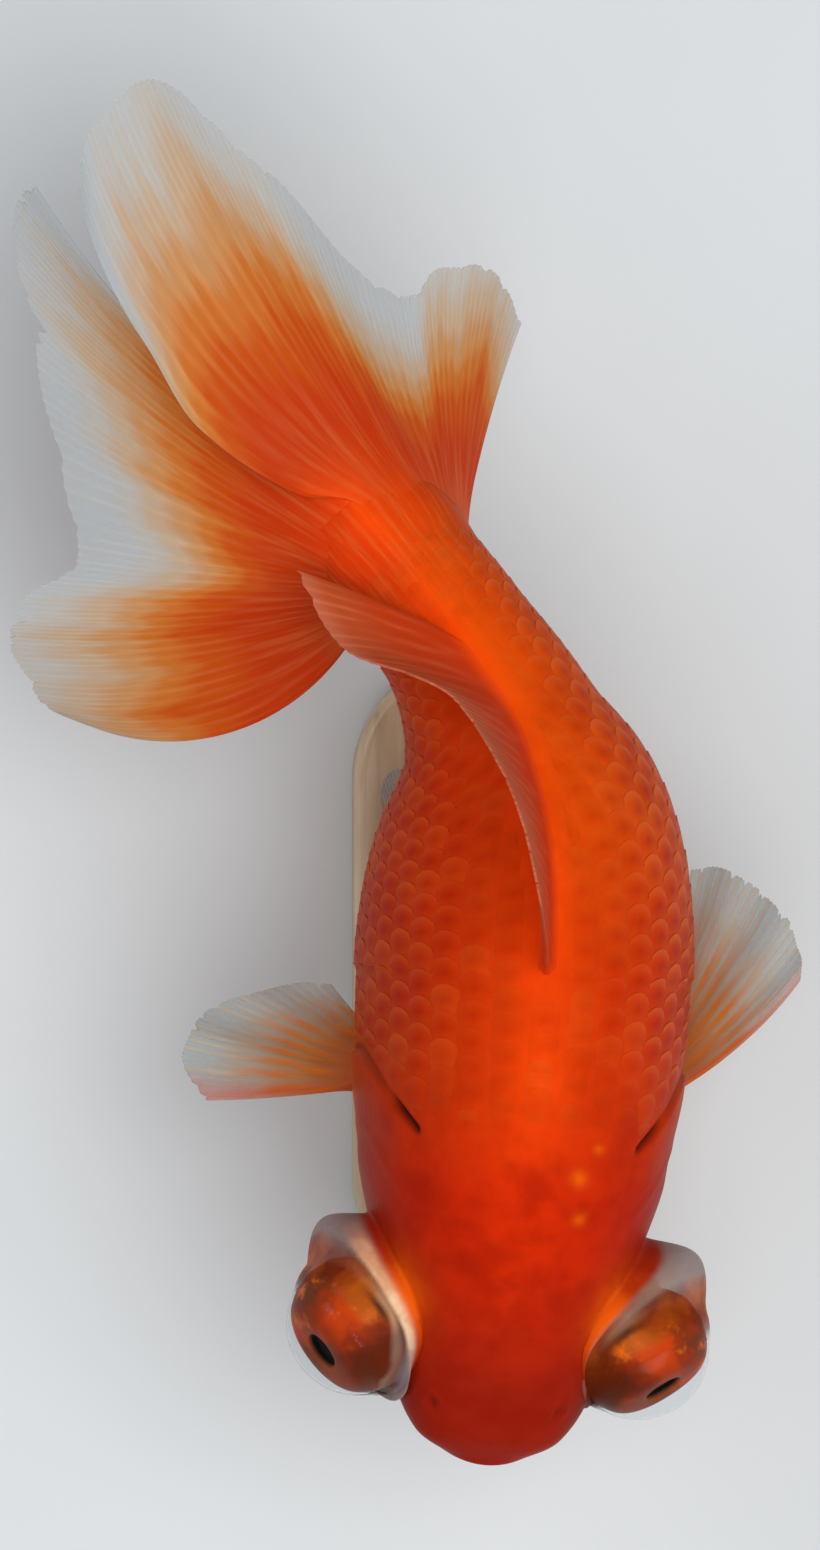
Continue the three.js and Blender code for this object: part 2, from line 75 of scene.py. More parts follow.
# %% Sizes of the body
MM = 0.001
SPINE_LENGTH = 102
SNOUT = np.array([-1.9, -48.6])
SNOUT_LEVEL = 38
SNOUT_LENGTH = 12
HEAD_YAW = -5.3
TAIL_BEND = 40
BELLY = {"at": 50, "rear": 28, "half_width": 16.9, "drop": 20, "level": 36, "fullness": 2.4}
EYE = {"at": 13.6, "out": 14.1, "level": 39.5, "radius": 7.2, "forward": 47, "squint": 7, "up": 20}
SOCKET = {"at": 16.1, "along": 8.4, "tall": 8.2, "level": 38}
GILL_FLARE = 0.35
SCALE_DEPTH = 0.25
SIDES = {"left": 1, "right": -1}
print("spine", SPINE_LENGTH, "mm long, eyes", 2 * EYE["radius"], "mm across")
FIN_ROOTS = {
    "dorsal": ((50, 0), (84, 0)),
    "tail_left": ((102, 0), (92, 112)), "tail_right": ((102, 3), (92, -112)),
    "pectoral_left": ((38, 108), (43, 122)), "pectoral_right": ((37, -108), (42, -122)),
    "pelvic_left": ((52, 152), (57, 166)), "pelvic_right": ((52, -152), (57, -166)),
    "anal_left": ((78, 160), (86, 164)), "anal_right": ((78, -160), (86, -164)),
}

# %% [markdown]
# ## Small mathematics
# Three helpers carry the whole fish: a smooth step, a curve that passes through given points without
# swinging past them, and a rounded maximum. They take whole arrays, so no loop ever walks over single
# vertices.


# %% Curves
def smoothstep(x, start, end):
    """3t² − 2t³, where t runs from 0 at start to 1 at end and is held outside."""
    t = np.clip((x - start) / (end - start), 0, 1)
    return t * t * (3 - 2 * t)


def mix(a, b, share):
    """a where share is 0, b where it is 1, and a straight blend between."""
    return a + (b - a) * share


def smooth_max(a, b, k):
    """The larger of a and b, with the corner between them rounded over a width k."""
    near = np.maximum(k - np.abs(a - b), 0) / k
    return np.maximum(a, b) + near * near * k / 4


def curve_through(*pairs):
    """A monotone cubic through (x, y) pairs: a tangent is the harmonic mean of its two slopes."""
    xs, ys = np.array(pairs, float).T
    slopes = np.diff(ys) / np.diff(xs)
    before = np.concatenate([slopes[:1], slopes])
    after = np.concatenate([slopes, slopes[-1:]])
    total = np.where(before + after == 0, 1, before + after)
    tangents = np.where(before * after > 0, 2 * before * after / total, 0)

    def value(x):
        x = np.asarray(x, float)
        i = np.clip(np.searchsorted(xs, x, side="right") - 1, 0, len(xs) - 2)
        span = xs[i + 1] - xs[i]
        t = np.clip((x - xs[i]) / span, 0, 1)
        ends = ys[i] * (1 + 2 * t) * (1 - t) ** 2 + ys[i + 1] * t * t * (3 - 2 * t)
        return ends + span * t * (1 - t) * (tangents[i] * (1 - t) - tangents[i + 1] * t)

    return value


def level_direction(degrees):
    """The level unit vector (−sin, cos, 0) of a heading: 0 is +Y and 90 is −X."""
    turn = np.radians(degrees)
    return np.stack([-np.sin(turn), np.cos(turn), np.zeros_like(turn)], -1)


def unit(v):
    """v divided by its own length."""
    return v / np.maximum(np.linalg.norm(v, axis=-1, keepdims=True), 1e-9)


# %% [markdown]
# ## The spine
# The fish turns as it swims: the head is yawed a little to one side and the tail stock is swung 40
# degrees to the other. The heading along the spine is a sum of two smooth steps, and adding up short
# steps along that heading gives the centre line.


# %% Spine
def spine_heading(s):
    """Head yaw fading out between 30 and 68 mm, plus tail bend fading in between 52 and 96 mm."""
    return HEAD_YAW * (1 - smoothstep(s, 30, 68)) + TAIL_BEND * smoothstep(s, 52, 96)


STEP = 0.5
steps = np.arange(0, SPINE_LENGTH + 10, STEP)
walk = level_direction(spine_heading(steps + STEP / 2))[:, :2] * STEP
spine_line = np.vstack([SNOUT, SNOUT + np.cumsum(walk, axis=0)])
spine_stations = np.append(steps, steps[-1] + STEP)


def spine_frame(s):
    """The centre line's place in plan, with the directions to the tail and to the fish's left."""
    level_place = [np.interp(s, spine_stations, spine_line[:, k]) for k in (0, 1)]
    place = np.stack(level_place + [np.zeros_like(s)], -1)
    back = level_direction(spine_heading(s))
    left = np.stack([back[..., 1], -back[..., 0], back[..., 2]], -1)
    return place, back, left


print("tail stock ends at", spine_frame(np.array(float(SPINE_LENGTH)))[0].round(1))

# %% [markdown]
# ## The body's surface
# Each section across the body is two half ellipses, an upper and a lower one, drawn fuller or leaner
# by an exponent. Five curves along the spine give their width, levels and fullness, and the abdomen
# swells over them as an egg.

# %% Body curves
core_half_width = curve_through(
    (0, 10.2), (12, 10.5), (22, 13.2), (31, 15.6), (41, 16.7), (50, 16.9), (60, 15.6), (70, 12),
    (79, 9.2), (86, 8), (93, 7.8), (102, 8.7), (112, 9.2),
)
back_level = curve_through(
    (0, 43), (12, 48), (24, 54), (36, 58.5), (48, 60.5), (60, 59.8), (72, 56.4), (84, 53), (95, 51.4),
    (112, 51.4),
)
side_level = curve_through((0, 38), (20, 37), (50, 34.5), (66, 37), (80, 42.5), (112, 43.4))
core_underside = curve_through(
    (0, 32), (12, 27.5), (25, 21.5), (38, 17), (50, 16), (62, 19), (74, 28), (84, 34), (95, 36), (112, 36)
)
upper_fullness = curve_through((0, 2.2), (20, 2.35), (45, 1.9), (80, 2), (112, 2))
LOWER_FULLNESS = 2.1


def body_sizes(s, grow=0.0):
    """Half width, reach up and down from the widest level, and that level, at stations s."""
    nose = np.sqrt(np.maximum(1 - (1 - np.minimum(s / SNOUT_LENGTH, 1)) ** 2, 0))
    along = np.clip((s - BELLY["at"]) / BELLY["rear"], 0, 1)
    abdomen = np.where(s < BELLY["at"], 0, (1 - along ** BELLY["fullness"]) ** (1 / BELLY["fullness"]))
    half_width = smooth_max(core_half_width(s), BELLY["half_width"] * abdomen, 1.2)
    underside = -smooth_max(-core_underside(s), BELLY["drop"] * abdomen - BELLY["level"], 2)
    middle = side_level(s)
    up = (back_level(s) - middle) * nose + grow
    down = (middle - underside) * nose + grow
    return half_width * nose + grow, up, down, middle


def body_point(s, degrees, grow=0.0):
    """left·w·sgn(d)|d|^(2/n) + up·h·sgn(c)|c|^(2/n), with c and d the cosine and sine of the angle."""
    s, degrees = np.broadcast_arrays(np.asarray(s, float), np.asarray(degrees, float))
    half_width, up, down, middle = body_sizes(s, grow)
    c = np.cos(np.radians(degrees))
    d = np.sin(np.radians(degrees))
    power = 2 / np.where(c > 0, upper_fullness(s), LOWER_FULLNESS)
    place, _, left = spine_frame(s)
    side = half_width * np.sign(d) * np.abs(d) ** power
    height = np.where(c > 0, up, down) * np.sign(c) * np.abs(c) ** power
    point = place + left * side[..., None]
    point[..., 2] = middle + height
    return point


def body_normal(s, degrees, grow=0.0):
    """The outward direction: the cross product of small steps round and along the body."""
    around = body_point(s, degrees + 0.5, grow) - body_point(s, degrees - 0.5, grow)
    along = body_point(s + 0.05, degrees, grow) - body_point(s - 0.05, degrees, grow)
    return unit(np.cross(around, along))


def angle_at_level(s, level):
    """The angle on the left side where the body reaches a level: acos of the share of the height."""
    _, up, down, middle = body_sizes(s)
    above = level > middle
    share = np.clip(np.abs(level - middle) / np.where(above, up, down), 0, 1)
    power = np.where(above, upper_fullness(s), LOWER_FULLNESS) / 2
    return np.degrees(np.arccos(np.where(above, 1, -1) * share ** power))


print("widest half width", float(body_sizes(np.arange(0, 102.0))[0].max().round(1)), "mm")

# %% [markdown]
# ## Making meshes
# A surface is a grid of points, and a thin plate is two such grids joined round their rims. These
# helpers turn whole arrays into faces and hand them to Blender in one call.


# %% Mesh helpers
def grid_faces(rows, columns, closed=False):
    """Quads of a rows × columns grid of points, closed round its second direction if asked."""
    i, j = np.meshgrid(np.arange(rows - 1), np.arange(columns if closed else columns - 1), indexing="ij")
    right = (j + 1) % columns
    this_row = i * columns
    next_row = (i + 1) * columns
    corners = [this_row + j, this_row + right, next_row + right, next_row + j]
    return np.stack(corners, -1).reshape(-1, 4)


def tube_faces(count, rows, columns):
    """A closed tube's faces: its rings, and a fan at each end to the last two of its count of points."""
    j = np.arange(columns)
    following = (j + 1) % columns
    last = (rows - 1) * columns
    return [
        grid_faces(rows, columns, closed=True),
        np.stack([np.full(columns, count - 2), following, j], -1),
        np.stack([np.full(columns, count - 1), last + j, last + following], -1),
    ]


def capped_rings(rings):
    """The points and faces of a stack of closed rings, with one flat face at each end."""
    rows, columns = rings.shape[:2]
    last_ring = (rows - 1) * columns + np.arange(columns)
    caps = [np.arange(columns)[::-1][None], last_ring[None]]
    return rings.reshape(-1, 3), [grid_faces(rows, columns, closed=True)] + caps


def full_turn(columns):
    """Even angles once round, in radians."""
    return np.arange(columns) * 2 * np.pi / columns


def rim_of(rows, columns):
    """The grid's outer points in order, once round."""
    i = np.arange(rows * columns).reshape(rows, columns)
    return np.concatenate([i[0, :-1], i[:-1, -1], i[-1, :0:-1], i[:0:-1, 0]])


def plate(top, bottom):
    """A closed thin plate: the top grid, the bottom grid turned over, and quads round the rim."""
    rows, columns = top.shape[:2]
    points = np.concatenate([top.reshape(-1, 3), bottom.reshape(-1, 3)])
    upper = grid_faces(rows, columns)
    count = rows * columns
    rim = rim_of(rows, columns)
    following = np.roll(rim, -1)
    strip = np.stack([following, rim, rim + count, following + count], -1)
    return points, np.concatenate([upper, upper[:, ::-1] + count, strip])


# %% Pieces
def outward(points, faces):
    """The faces, turned over if the volume they enclose comes out negative."""
    a, b, c = (points[faces[:, k]] for k in (0, 1, 2))
    volume = np.einsum("ij,ij->i", a, np.cross(b, c)).sum()
    if faces.shape[1] == 4:
        volume += np.einsum("ij,ij->i", a, np.cross(c, points[faces[:, 3]])).sum()
    return faces if volume > 0 else faces[:, ::-1]


def new_piece(name, points, faces, material, attributes=None, sharp=None):
    """One smooth-shaded mesh object from points in mm; attributes are values per point."""
    mesh = bpy.data.meshes.new(name)
    lists = [block.tolist() for block in (faces if isinstance(faces, list) else [faces])]
    mesh.from_pydata((points * MM).tolist(), [], [face for block in lists for face in block])
    mesh.polygons.foreach_set("use_smooth", np.ones(len(mesh.polygons), bool))
    for title, values in (attributes or {}).items():
        layer = mesh.attributes.new(title, "FLOAT", "POINT")
        layer.data.foreach_set("value", np.asarray(values, np.float32).ravel())
    if sharp:
        mesh.set_sharp_from_angle(angle=math.radians(sharp))
    mesh.update()
    piece = bpy.data.objects.new(name, mesh)
    bpy.context.collection.objects.link(piece)
    piece.data.materials.append(material)
    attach(piece, "root")
    print(name, len(mesh.vertices), "points", sum(len(p.vertices) - 2 for p in mesh.polygons), "triangles")
    return piece


def add_map(piece, title, per_point):
    """A UV map from one (u, v) per point."""
    corners = np.empty(len(piece.data.loops), np.int64)
    piece.data.loops.foreach_get("vertex_index", corners)
    layer = piece.data.uv_layers.new(name=title)
    layer.data.foreach_set("uv", np.asarray(per_point, np.float32)[corners].ravel())


# %% [markdown]
# ## Camera, light and floor
# The fish is seen from above, as a keeper looks down on it: the camera is nearly plumb over the
# stand, leaning a few degrees to the fish's right side. The light is a wide soft box overhead, a
# weaker and cooler one from the side, and pale surroundings. A pale floor lies under the stand.

# %% Camera
SENSOR = 36
CAMERA_LEAN = math.radians(4.5)
CAMERA_DISTANCE = 900
VIEW_HEIGHT = 155
target = (low + high) / 2 + [-0.25, 0.67, -1.05]
backwards = np.array([-math.sin(CAMERA_LEAN), 0, math.cos(CAMERA_LEAN)])
lens = bpy.data.cameras.new("camera")
lens.sensor_width = SENSOR
lens.lens = SENSOR * CAMERA_DISTANCE / VIEW_HEIGHT
lens.clip_start = 0.01
camera = bpy.data.objects.new("camera", lens)
camera.location = (target + backwards * CAMERA_DISTANCE) * MM
camera.rotation_euler = (0, -CAMERA_LEAN, 0)
bpy.context.collection.objects.link(camera)
scene = bpy.context.scene
scene.camera = camera
scene.view_settings.view_transform = "Standard"
print("lens", round(lens.lens, 1), "mm")


# %% Lights
def soft_box(name, place, aim, size, power, colour):
    """An area light at a place in mm, turned to shine at another."""
    light = bpy.data.lights.new(name, "AREA")
    light.shape = "DISK"
    light.size = size * MM
    light.energy = power
    light.color = colour
    lamp = bpy.data.objects.new(name, light)
    lamp.location = np.array(place) * MM
    direction = np.array(aim, float) - place
    lamp.rotation_euler = (
        math.atan2(math.hypot(direction[0], direction[1]), -direction[2]),
        0,
        math.atan2(direction[0], -direction[1]) + math.pi,
    )
    bpy.context.collection.objects.link(lamp)


FISH_MIDDLE = (-9, 20, 38)
soft_box("overhead light", (160, -120, 640), FISH_MIDDLE, 700, 3.75, (1, 0.985, 0.96))
soft_box("window light", (-420, 260, 380), FISH_MIDDLE, 300, 0.8, (0.9, 0.96, 1))
world = bpy.data.worlds.new("pale room")
scene.world = world
world.use_nodes = True
world.node_tree.nodes["Background"].inputs["Color"].default_value = (0.93, 0.96, 1, 1)
world.node_tree.nodes["Background"].inputs["Strength"].default_value = 0.38

# %% [markdown]
# ## Writing materials
# Every finish is procedural. A node tree is easier to read when each node is one line, so a small
# helper adds a node, sets it up and returns it. Effects that several materials share are node groups
# with named inputs and outputs.


# %% Node helpers
def srgb(red, green, blue):
    """A colour in everyday 0–255 values, as the linear RGBA that shaders work in."""
    c = np.array([red, green, blue]) / 255
    linear = np.where(c <= 0.04045, c / 12.92, ((c + 0.055) / 1.055) ** 2.4)
    return (*linear.tolist(), 1.0)


MARKS = ("Along", "Round", "Orange_and_lit_side", "Brown_and_slit_shade")


class Tree:
    """A node tree with one short method for each kind of step."""

    def __init__(self, tree):
        self.tree = tree

    def feed(self, socket, value):
        """A socket is linked and anything else is written as the input's own value."""
        if isinstance(value, bpy.types.NodeSocket):
            self.tree.links.new(value, socket)
        else:
            socket.default_value = value

    def add(self, kind, inputs=None, **settings):
        node = self.tree.nodes.new("ShaderNode" + kind)
        for title, value in settings.items():
            setattr(node, title, value)
        for title, value in (inputs or {}).items():
            self.feed(node.inputs[title], value)
        return node

    def maths(self, operation, a, b=0.0, c=0.0, clamp=False):
        node = self.add("Math", {0: a, 1: b, 2: c}, operation=operation, use_clamp=clamp)
        return node.outputs[0]

    def times(self, a, b):
        return self.maths("MULTIPLY", a, b)

    def plus(self, a, b):
        return self.maths("ADD", a, b)

    def between(self, value, start, end):
        """0 at start, 1 at end, held outside and eased between."""
        limits = {"Value": value, "From Min": start, "From Max": end}
        return self.add("MapRange", limits, interpolation_type="SMOOTHSTEP").outputs["Result"]

    def blend(self, a, b, share):
        """Colour a where share is 0 and colour b where it is 1."""
        return self.add("Mix", {0: share, 6: a, 7: b}, data_type="RGBA").outputs[2]

    def band(self, share, stops):
        """Colours along a share, eased between stops of (place, linear colour)."""
        node = self.add("ValToRGB", {"Fac": share})
        band = node.color_ramp
        band.interpolation = "EASE"
        while len(band.elements) < len(stops):
            band.elements.new(0.5)
        for element, (place, colour) in zip(band.elements, stops):
            element.position = place
            element.color = colour
        return node.outputs["Color"]

    def ramp(self, share, *stops):
        """Colours along a share: each stop is (place, red, green, blue), in everyday 0–255 values."""
        return self.band(share, [(place, srgb(*colour)) for place, *colour in stops])

    def levels(self, share, *stops):
        """A value along a share: each stop is (place, value)."""
        greys = [(place, (value, value, value, 1)) for place, value in stops]
        return self.add("RGBToBW", {"Color": self.band(share, greys)}).outputs[0]

    def attribute(self, title):
        return self.add("Attribute", attribute_name=title).outputs["Fac"]

    def spots(self, scale, detail=3.0, vector=None, roughness=0.5):
        """Soft noise between 0 and 1, on Object coordinates unless another vector is given."""
        place = vector or self.add("TexCoord").outputs["Object"]
        settings = {"Vector": place, "Scale": scale, "Detail": detail, "Roughness": roughness}
        return self.add("TexNoise", settings).outputs["Fac"]

    def emboss(self, strength, distance, height):
        """The shading normal of a fine relief, its distance in metres."""
        relief = self.add("Bump", {"Strength": strength, "Distance": distance, "Height": height})
        return relief.outputs["Normal"]

    def group(self, name, inputs):
        """Places a node group by name, with its inputs."""
        node = self.add("Group")
        node.node_tree = bpy.data.node_groups[name]
        for title, value in inputs.items():
            self.feed(node.inputs[title], value)
        return node.outputs

    def flesh(self):
        """The goldfish's colours, with painted highlight and painted light on its sides, from the values
        that the piece's points carry.
        """
        return self.group("Goldfish colours", {word: self.attribute(word.lower()) for word in MARKS})


# %% New groups and materials
def new_group(name, inputs, outputs):
    """An empty node group: returns its tree, its inputs' sockets and a function that sets an output."""
    made = bpy.data.node_groups.new(name, "ShaderNodeTree")
    for title, kind in inputs.items():
        made.interface.new_socket(title, in_out="INPUT", socket_type="NodeSocket" + kind)
    for title, kind in outputs.items():
        made.interface.new_socket(title, in_out="OUTPUT", socket_type="NodeSocket" + kind)
    tree = Tree(made)
    source = made.nodes.new("NodeGroupInput")
    sink = made.nodes.new("NodeGroupOutput")
    return tree, source.outputs, lambda title, value: tree.feed(sink.inputs[title], value)


def new_material(name, **fixed):
    """A material with one Principled shader: returns it, its tree and a function that sets an input."""
    material = bpy.data.materials.new(name)
    material.use_nodes = True
    tree = Tree(material.node_tree)
    shader = material.node_tree.nodes["Principled BSDF"]

    def give(title, value):
        tree.feed(shader.inputs[title], value)

    for title, value in fixed.items():
        give(title.replace("_", " "), value)
    return material, tree, give


# %% [markdown]
# ## The goldfish's colours
# A red goldfish is deep saturated red on the shoulders and the head, paler and browner down the flanks,
# ending in a warm pale belly; the brightest orange along the ridge of its back is partly a painted
# highlight. Skin and scales must agree, so one node group gives the colour from four values that every
# point carries: how far along the body it is, how far round, and two marks. The first is where the skin
# is a clear orange, and also painted light that brightens the fish's left flank; the second is where it
# is brown, and also painted shade in the slit behind each gill cover.

# %% Colour group
tree, given, give = new_group(
    "Goldfish colours",
    {word: "Float" for word in MARKS},
    {"Colour": "Color", "Mottle": "Float"},
)
cloud = tree.spots(110, 3)
fine = tree.spots(420, 2)
mottle = tree.plus(tree.times(cloud, 0.7), tree.times(fine, 0.3))
wander = tree.times(tree.maths("SUBTRACT", cloud, 0.5), 0.10)
round_the_body = tree.plus(given["Round"], wander)
# The bright orange at the ridge of the back is partly a painted highlight over the body's own red; the pale
# belly is its own colour.
body_colour_and_ridge_highlight = tree.ramp(
    round_the_body,
    (0.0, 238, 68, 7), (0.04, 229, 64, 7), (0.1, 213, 57, 8), (0.2, 204, 53, 9),
    (0.32, 186, 52, 9), (0.45, 172, 58, 19), (0.7, 206, 108, 58), (1.0, 224, 154, 106),
)
head_colour = tree.ramp(
    round_the_body,
    (0.0, 212, 44, 7), (0.12, 196, 38, 8), (0.25, 180, 36, 11), (0.36, 156, 34, 17),
    (0.5, 150, 48, 30), (0.8, 202, 102, 64), (1.0, 218, 140, 98),
)
snout = tree.between(tree.plus(given["Along"], wander), 0.23, 0.07)
head_colour = tree.blend(head_colour, srgb(152, 31, 14), snout)
on_head = tree.between(tree.plus(given["Along"], wander), 0.4, 0.26)
colour = tree.blend(body_colour_and_ridge_highlight, head_colour, on_head)
# This brown is partly pigment in front of the eyes and partly painted shade in the slits behind the gill
# covers.
colour = tree.blend(colour, srgb(84, 34, 14), given["Brown_and_slit_shade"])
# This orange is partly the skin's own orange patches and partly painted light on the fish's left flank.
colour = tree.blend(colour, srgb(236, 96, 10), given["Orange_and_lit_side"])
darker = tree.between(mottle, 0.62, 0.36)
darker = tree.times(darker, tree.maths("MULTIPLY_ADD", on_head, 0.26, 0.22))
colour = tree.blend(colour, srgb(138, 18, 5), darker)
fanned = tree.add("CombineXYZ", {
    "X": tree.times(given["Round"], 46.0), "Y": tree.times(given["Along"], 15.0), "Z": 0.0,
}).outputs["Vector"]
strands = tree.between(tree.spots(1.0, 3.0, vector=fanned, roughness=0.6), 0.42, 0.74)
strands = tree.times(strands, tree.between(given["Along"], 0.84, 0.95))
colour = tree.blend(colour, srgb(212, 112, 52), tree.times(strands, 0.32))
give("Colour", colour)
give("Mottle", mottle)
print("group ready:", [item.name for item in tree.tree.interface.items_tree])

# %% [markdown]
# ## Skin finish
# A fish's skin is smooth under a thin layer of slime, so its gloss is broad, soft and tinted by the
# orange below. Round the eyes the skin thins into a clear, pinkish grey balloon. The skin's own
# values say where: `sac` is 1 on the balloon, `clear` says how much light passes, `cream` and
# `pigment` mark the pale tissue and the brown red over it, `forward` is 1 on its front, and a last
# value is painted shade that darkens the mouth, the nostrils and the slit behind the gill cover.

# %% Skin material
FLESH_LOOK = {
    "Roughness": 0.4, "Specular_IOR_Level": 0.02, "Specular_Tint": (1.0, 0.45, 0.2, 1),
    "Subsurface_Weight": 0.1, "Subsurface_Radius": (1.0, 0.35, 0.15),
}
skin_finish, tree, give = new_material("goldfish skin", Subsurface_Scale=0.0015, **FLESH_LOOK)
flesh = tree.flesh()
lumps = tree.spots(240, 3)
balloon = tree.blend(srgb(146, 116, 110), srgb(140, 122, 128), tree.attribute("forward"))
pale = tree.ramp(lumps, (0.35, 200, 138, 102), (0.5, 220, 166, 126), (0.66, 244, 206, 166))
balloon = tree.blend(balloon, pale, tree.attribute("cream"))
balloon = tree.blend(balloon, srgb(150, 74, 34), tree.between(tree.attribute("clear"), 0.6, 0.88))
brown = tree.ramp(lumps, (0.36, 124, 42, 12), (0.5, 154, 62, 16), (0.66, 186, 88, 22))
brown = tree.blend(brown, srgb(98, 31, 12), tree.times(tree.attribute("forward"), 0.85))
balloon = tree.blend(balloon, brown, tree.attribute("pigment"))
colour = tree.blend(flesh["Colour"], balloon, tree.attribute("sac"))
# Painted shade in the mouth, the nostrils and the gill slits.
colour = tree.blend(colour, srgb(52, 12, 8), tree.attribute("crease_shade"))
give("Base Color", colour)
give("Alpha", tree.maths("SUBTRACT", 1.0, tree.attribute("clear")))
give("Normal", tree.emboss(0.25, 0.0002, tree.spots(1400, 2)))


# %% [markdown]
# ## One skin
# The skin is a single grid of points: rows along the spine and columns round the body. Rows crowd on
# the snout and the head, where the detail is. On each side a square patch of the grid is drawn out
# into a telescope eye: the patch is remapped to rings, the outer rings lie on the cheek, the next
# climb the bulb to the eye's equator, and the last fold in behind the clear cornea. So the eye sacs,
# gills, lips and nostrils all belong to one unbroken surface.

# %% Rows and columns of the skin
SNOUT_ROWS = 62
COLUMNS = 300
snout_turn = np.linspace(0.03, math.pi / 2, SNOUT_ROWS)
cap_turn = np.linspace(0, math.pi / 2, 10)[1:-1]
row_s = np.concatenate([
    SNOUT_LENGTH * (1 - np.cos(snout_turn)),
    np.arange(SNOUT_LENGTH + 0.25, 45, 0.25),
    np.arange(45, SPINE_LENGTH - 0.3, 0.62),
    [SPINE_LENGTH],
])
ROWS = len(row_s)
row_share = np.arange(ROWS) / (ROWS + len(cap_turn))
column_angle = np.arange(COLUMNS) * 360 / COLUMNS
print(ROWS, "rows by", COLUMNS, "columns")


def skin_depth(s):
    """How far the skin lies inside the solids: the scales' depth, and hardly anything on the head."""
    return -mix(0.05, SCALE_DEPTH, smoothstep(s, 29, 33))


# %% Eye frame
def eye_frame(side):
    """The ball's centre, its axis of sight, rearward and upward square to it, and straight out."""
    place, back, left = (v[0] for v in spine_frame(np.array([EYE["at"]], float)))
    out = left * side
    centre = place + out * EYE["out"] + np.array([0, 0, EYE["level"]])
    forward = math.radians(EYE["forward"] + side * EYE["squint"])
    up = math.radians(EYE["up"])
    level_axis = out * math.cos(forward) - back * math.sin(forward)
    axis = level_axis * math.cos(up) + np.array([0, 0, math.sin(up)])
    rear = unit(back - axis * (back @ axis))
    upward = np.array([0, 0, 1.0]) - axis * axis[2]
    upward = unit(upward - rear * (upward @ rear))
    return centre, axis, rear, upward, out


def socket_oval(turn, along=0.0, tall=0.0, shift=0.0):
    """Station and level of the socket's edge, widened by along and tall and moved by shift, in mm."""
    s = SOCKET["at"] + shift + (SOCKET["along"] + along) * np.cos(turn)
    return s, SOCKET["level"] + (SOCKET["tall"] + tall) * np.sin(turn)


def cheek_point(side, s, level, grow):
    """Place on the cheek at a station and a level, raised or sunk by grow."""
    return body_point(s, side * angle_at_level(s, level), grow)


def bezier(a, b, c, d, t):
    """The cubic curve through a and d with control points b and c."""
    t = t[..., None]
    return a * (1 - t) ** 3 + 3 * b * t * (1 - t) ** 2 + 3 * c * t * t * (1 - t) + d * t ** 3


# %% The eye sac's own surface
RIM_TURN = 58
FOLD = (5.2, 3.3)
RING_ROOT = 0.66
RING_INNER = 0.16


def sac_point(side, turn, t):
    """t 0 to 0.6 climbs a Bezier curve from the cheek to the ball's equator, 0.6 to 0.82 follows the
    ball on to the cornea's rim, and past that the skin folds in to the cup of the eye. In front it
    bulges a little, as a web."""
    centre, axis, rear, upward, out = eye_frame(side)
    root = cheek_point(side, *socket_oval(turn), -0.05)
    spoke = rear * np.cos(turn)[..., None] + upward * np.sin(turn)[..., None]
    fill = (1 + 0.085 * smoothstep(np.cos(turn), 0.1, 0.9))[..., None]
    rim = centre + spoke * EYE["radius"] * fill
    span = np.linalg.norm(root - rim, axis=-1, keepdims=True)
    lean = (spoke * (0.34 - 0.06 * side) - axis * 0.4) * span
    climb = bezier(root, root + out * 0.75 * span, rim + lean, rim, np.clip(t / 0.6, 0, 1))
    past = np.clip((t - 0.6) / 0.22, 0, 1)[..., None]
    polar = np.radians(90 - (90 - RIM_TURN) * past)
    reach = EYE["radius"] * mix(fill, 1, smoothstep(past, 0, 0.9))
    on_ball = centre + reach * (spoke * np.sin(polar) + axis * np.cos(polar))
    inward = np.clip((t - 0.82) / 0.18, 0, 1)[..., None]
    last = math.radians(RIM_TURN)
    folded = centre + spoke * mix(EYE["radius"] * math.sin(last), FOLD[0], inward)
    folded = folded + axis * mix(EYE["radius"] * math.cos(last), FOLD[1], inward)
    ahead = -spine_frame(np.array(float(EYE["at"])))[1]
    bulge = 1.7 * smoothstep(-np.cos(turn), 0.15, 0.85) * np.sin(np.pi * np.clip(t / 0.84, 0, 1)) ** 2
    t = t[..., None]
    return np.where(t < 0.6, climb, np.where(t < 0.82, on_ball, folded)) + ahead * bulge[..., None]


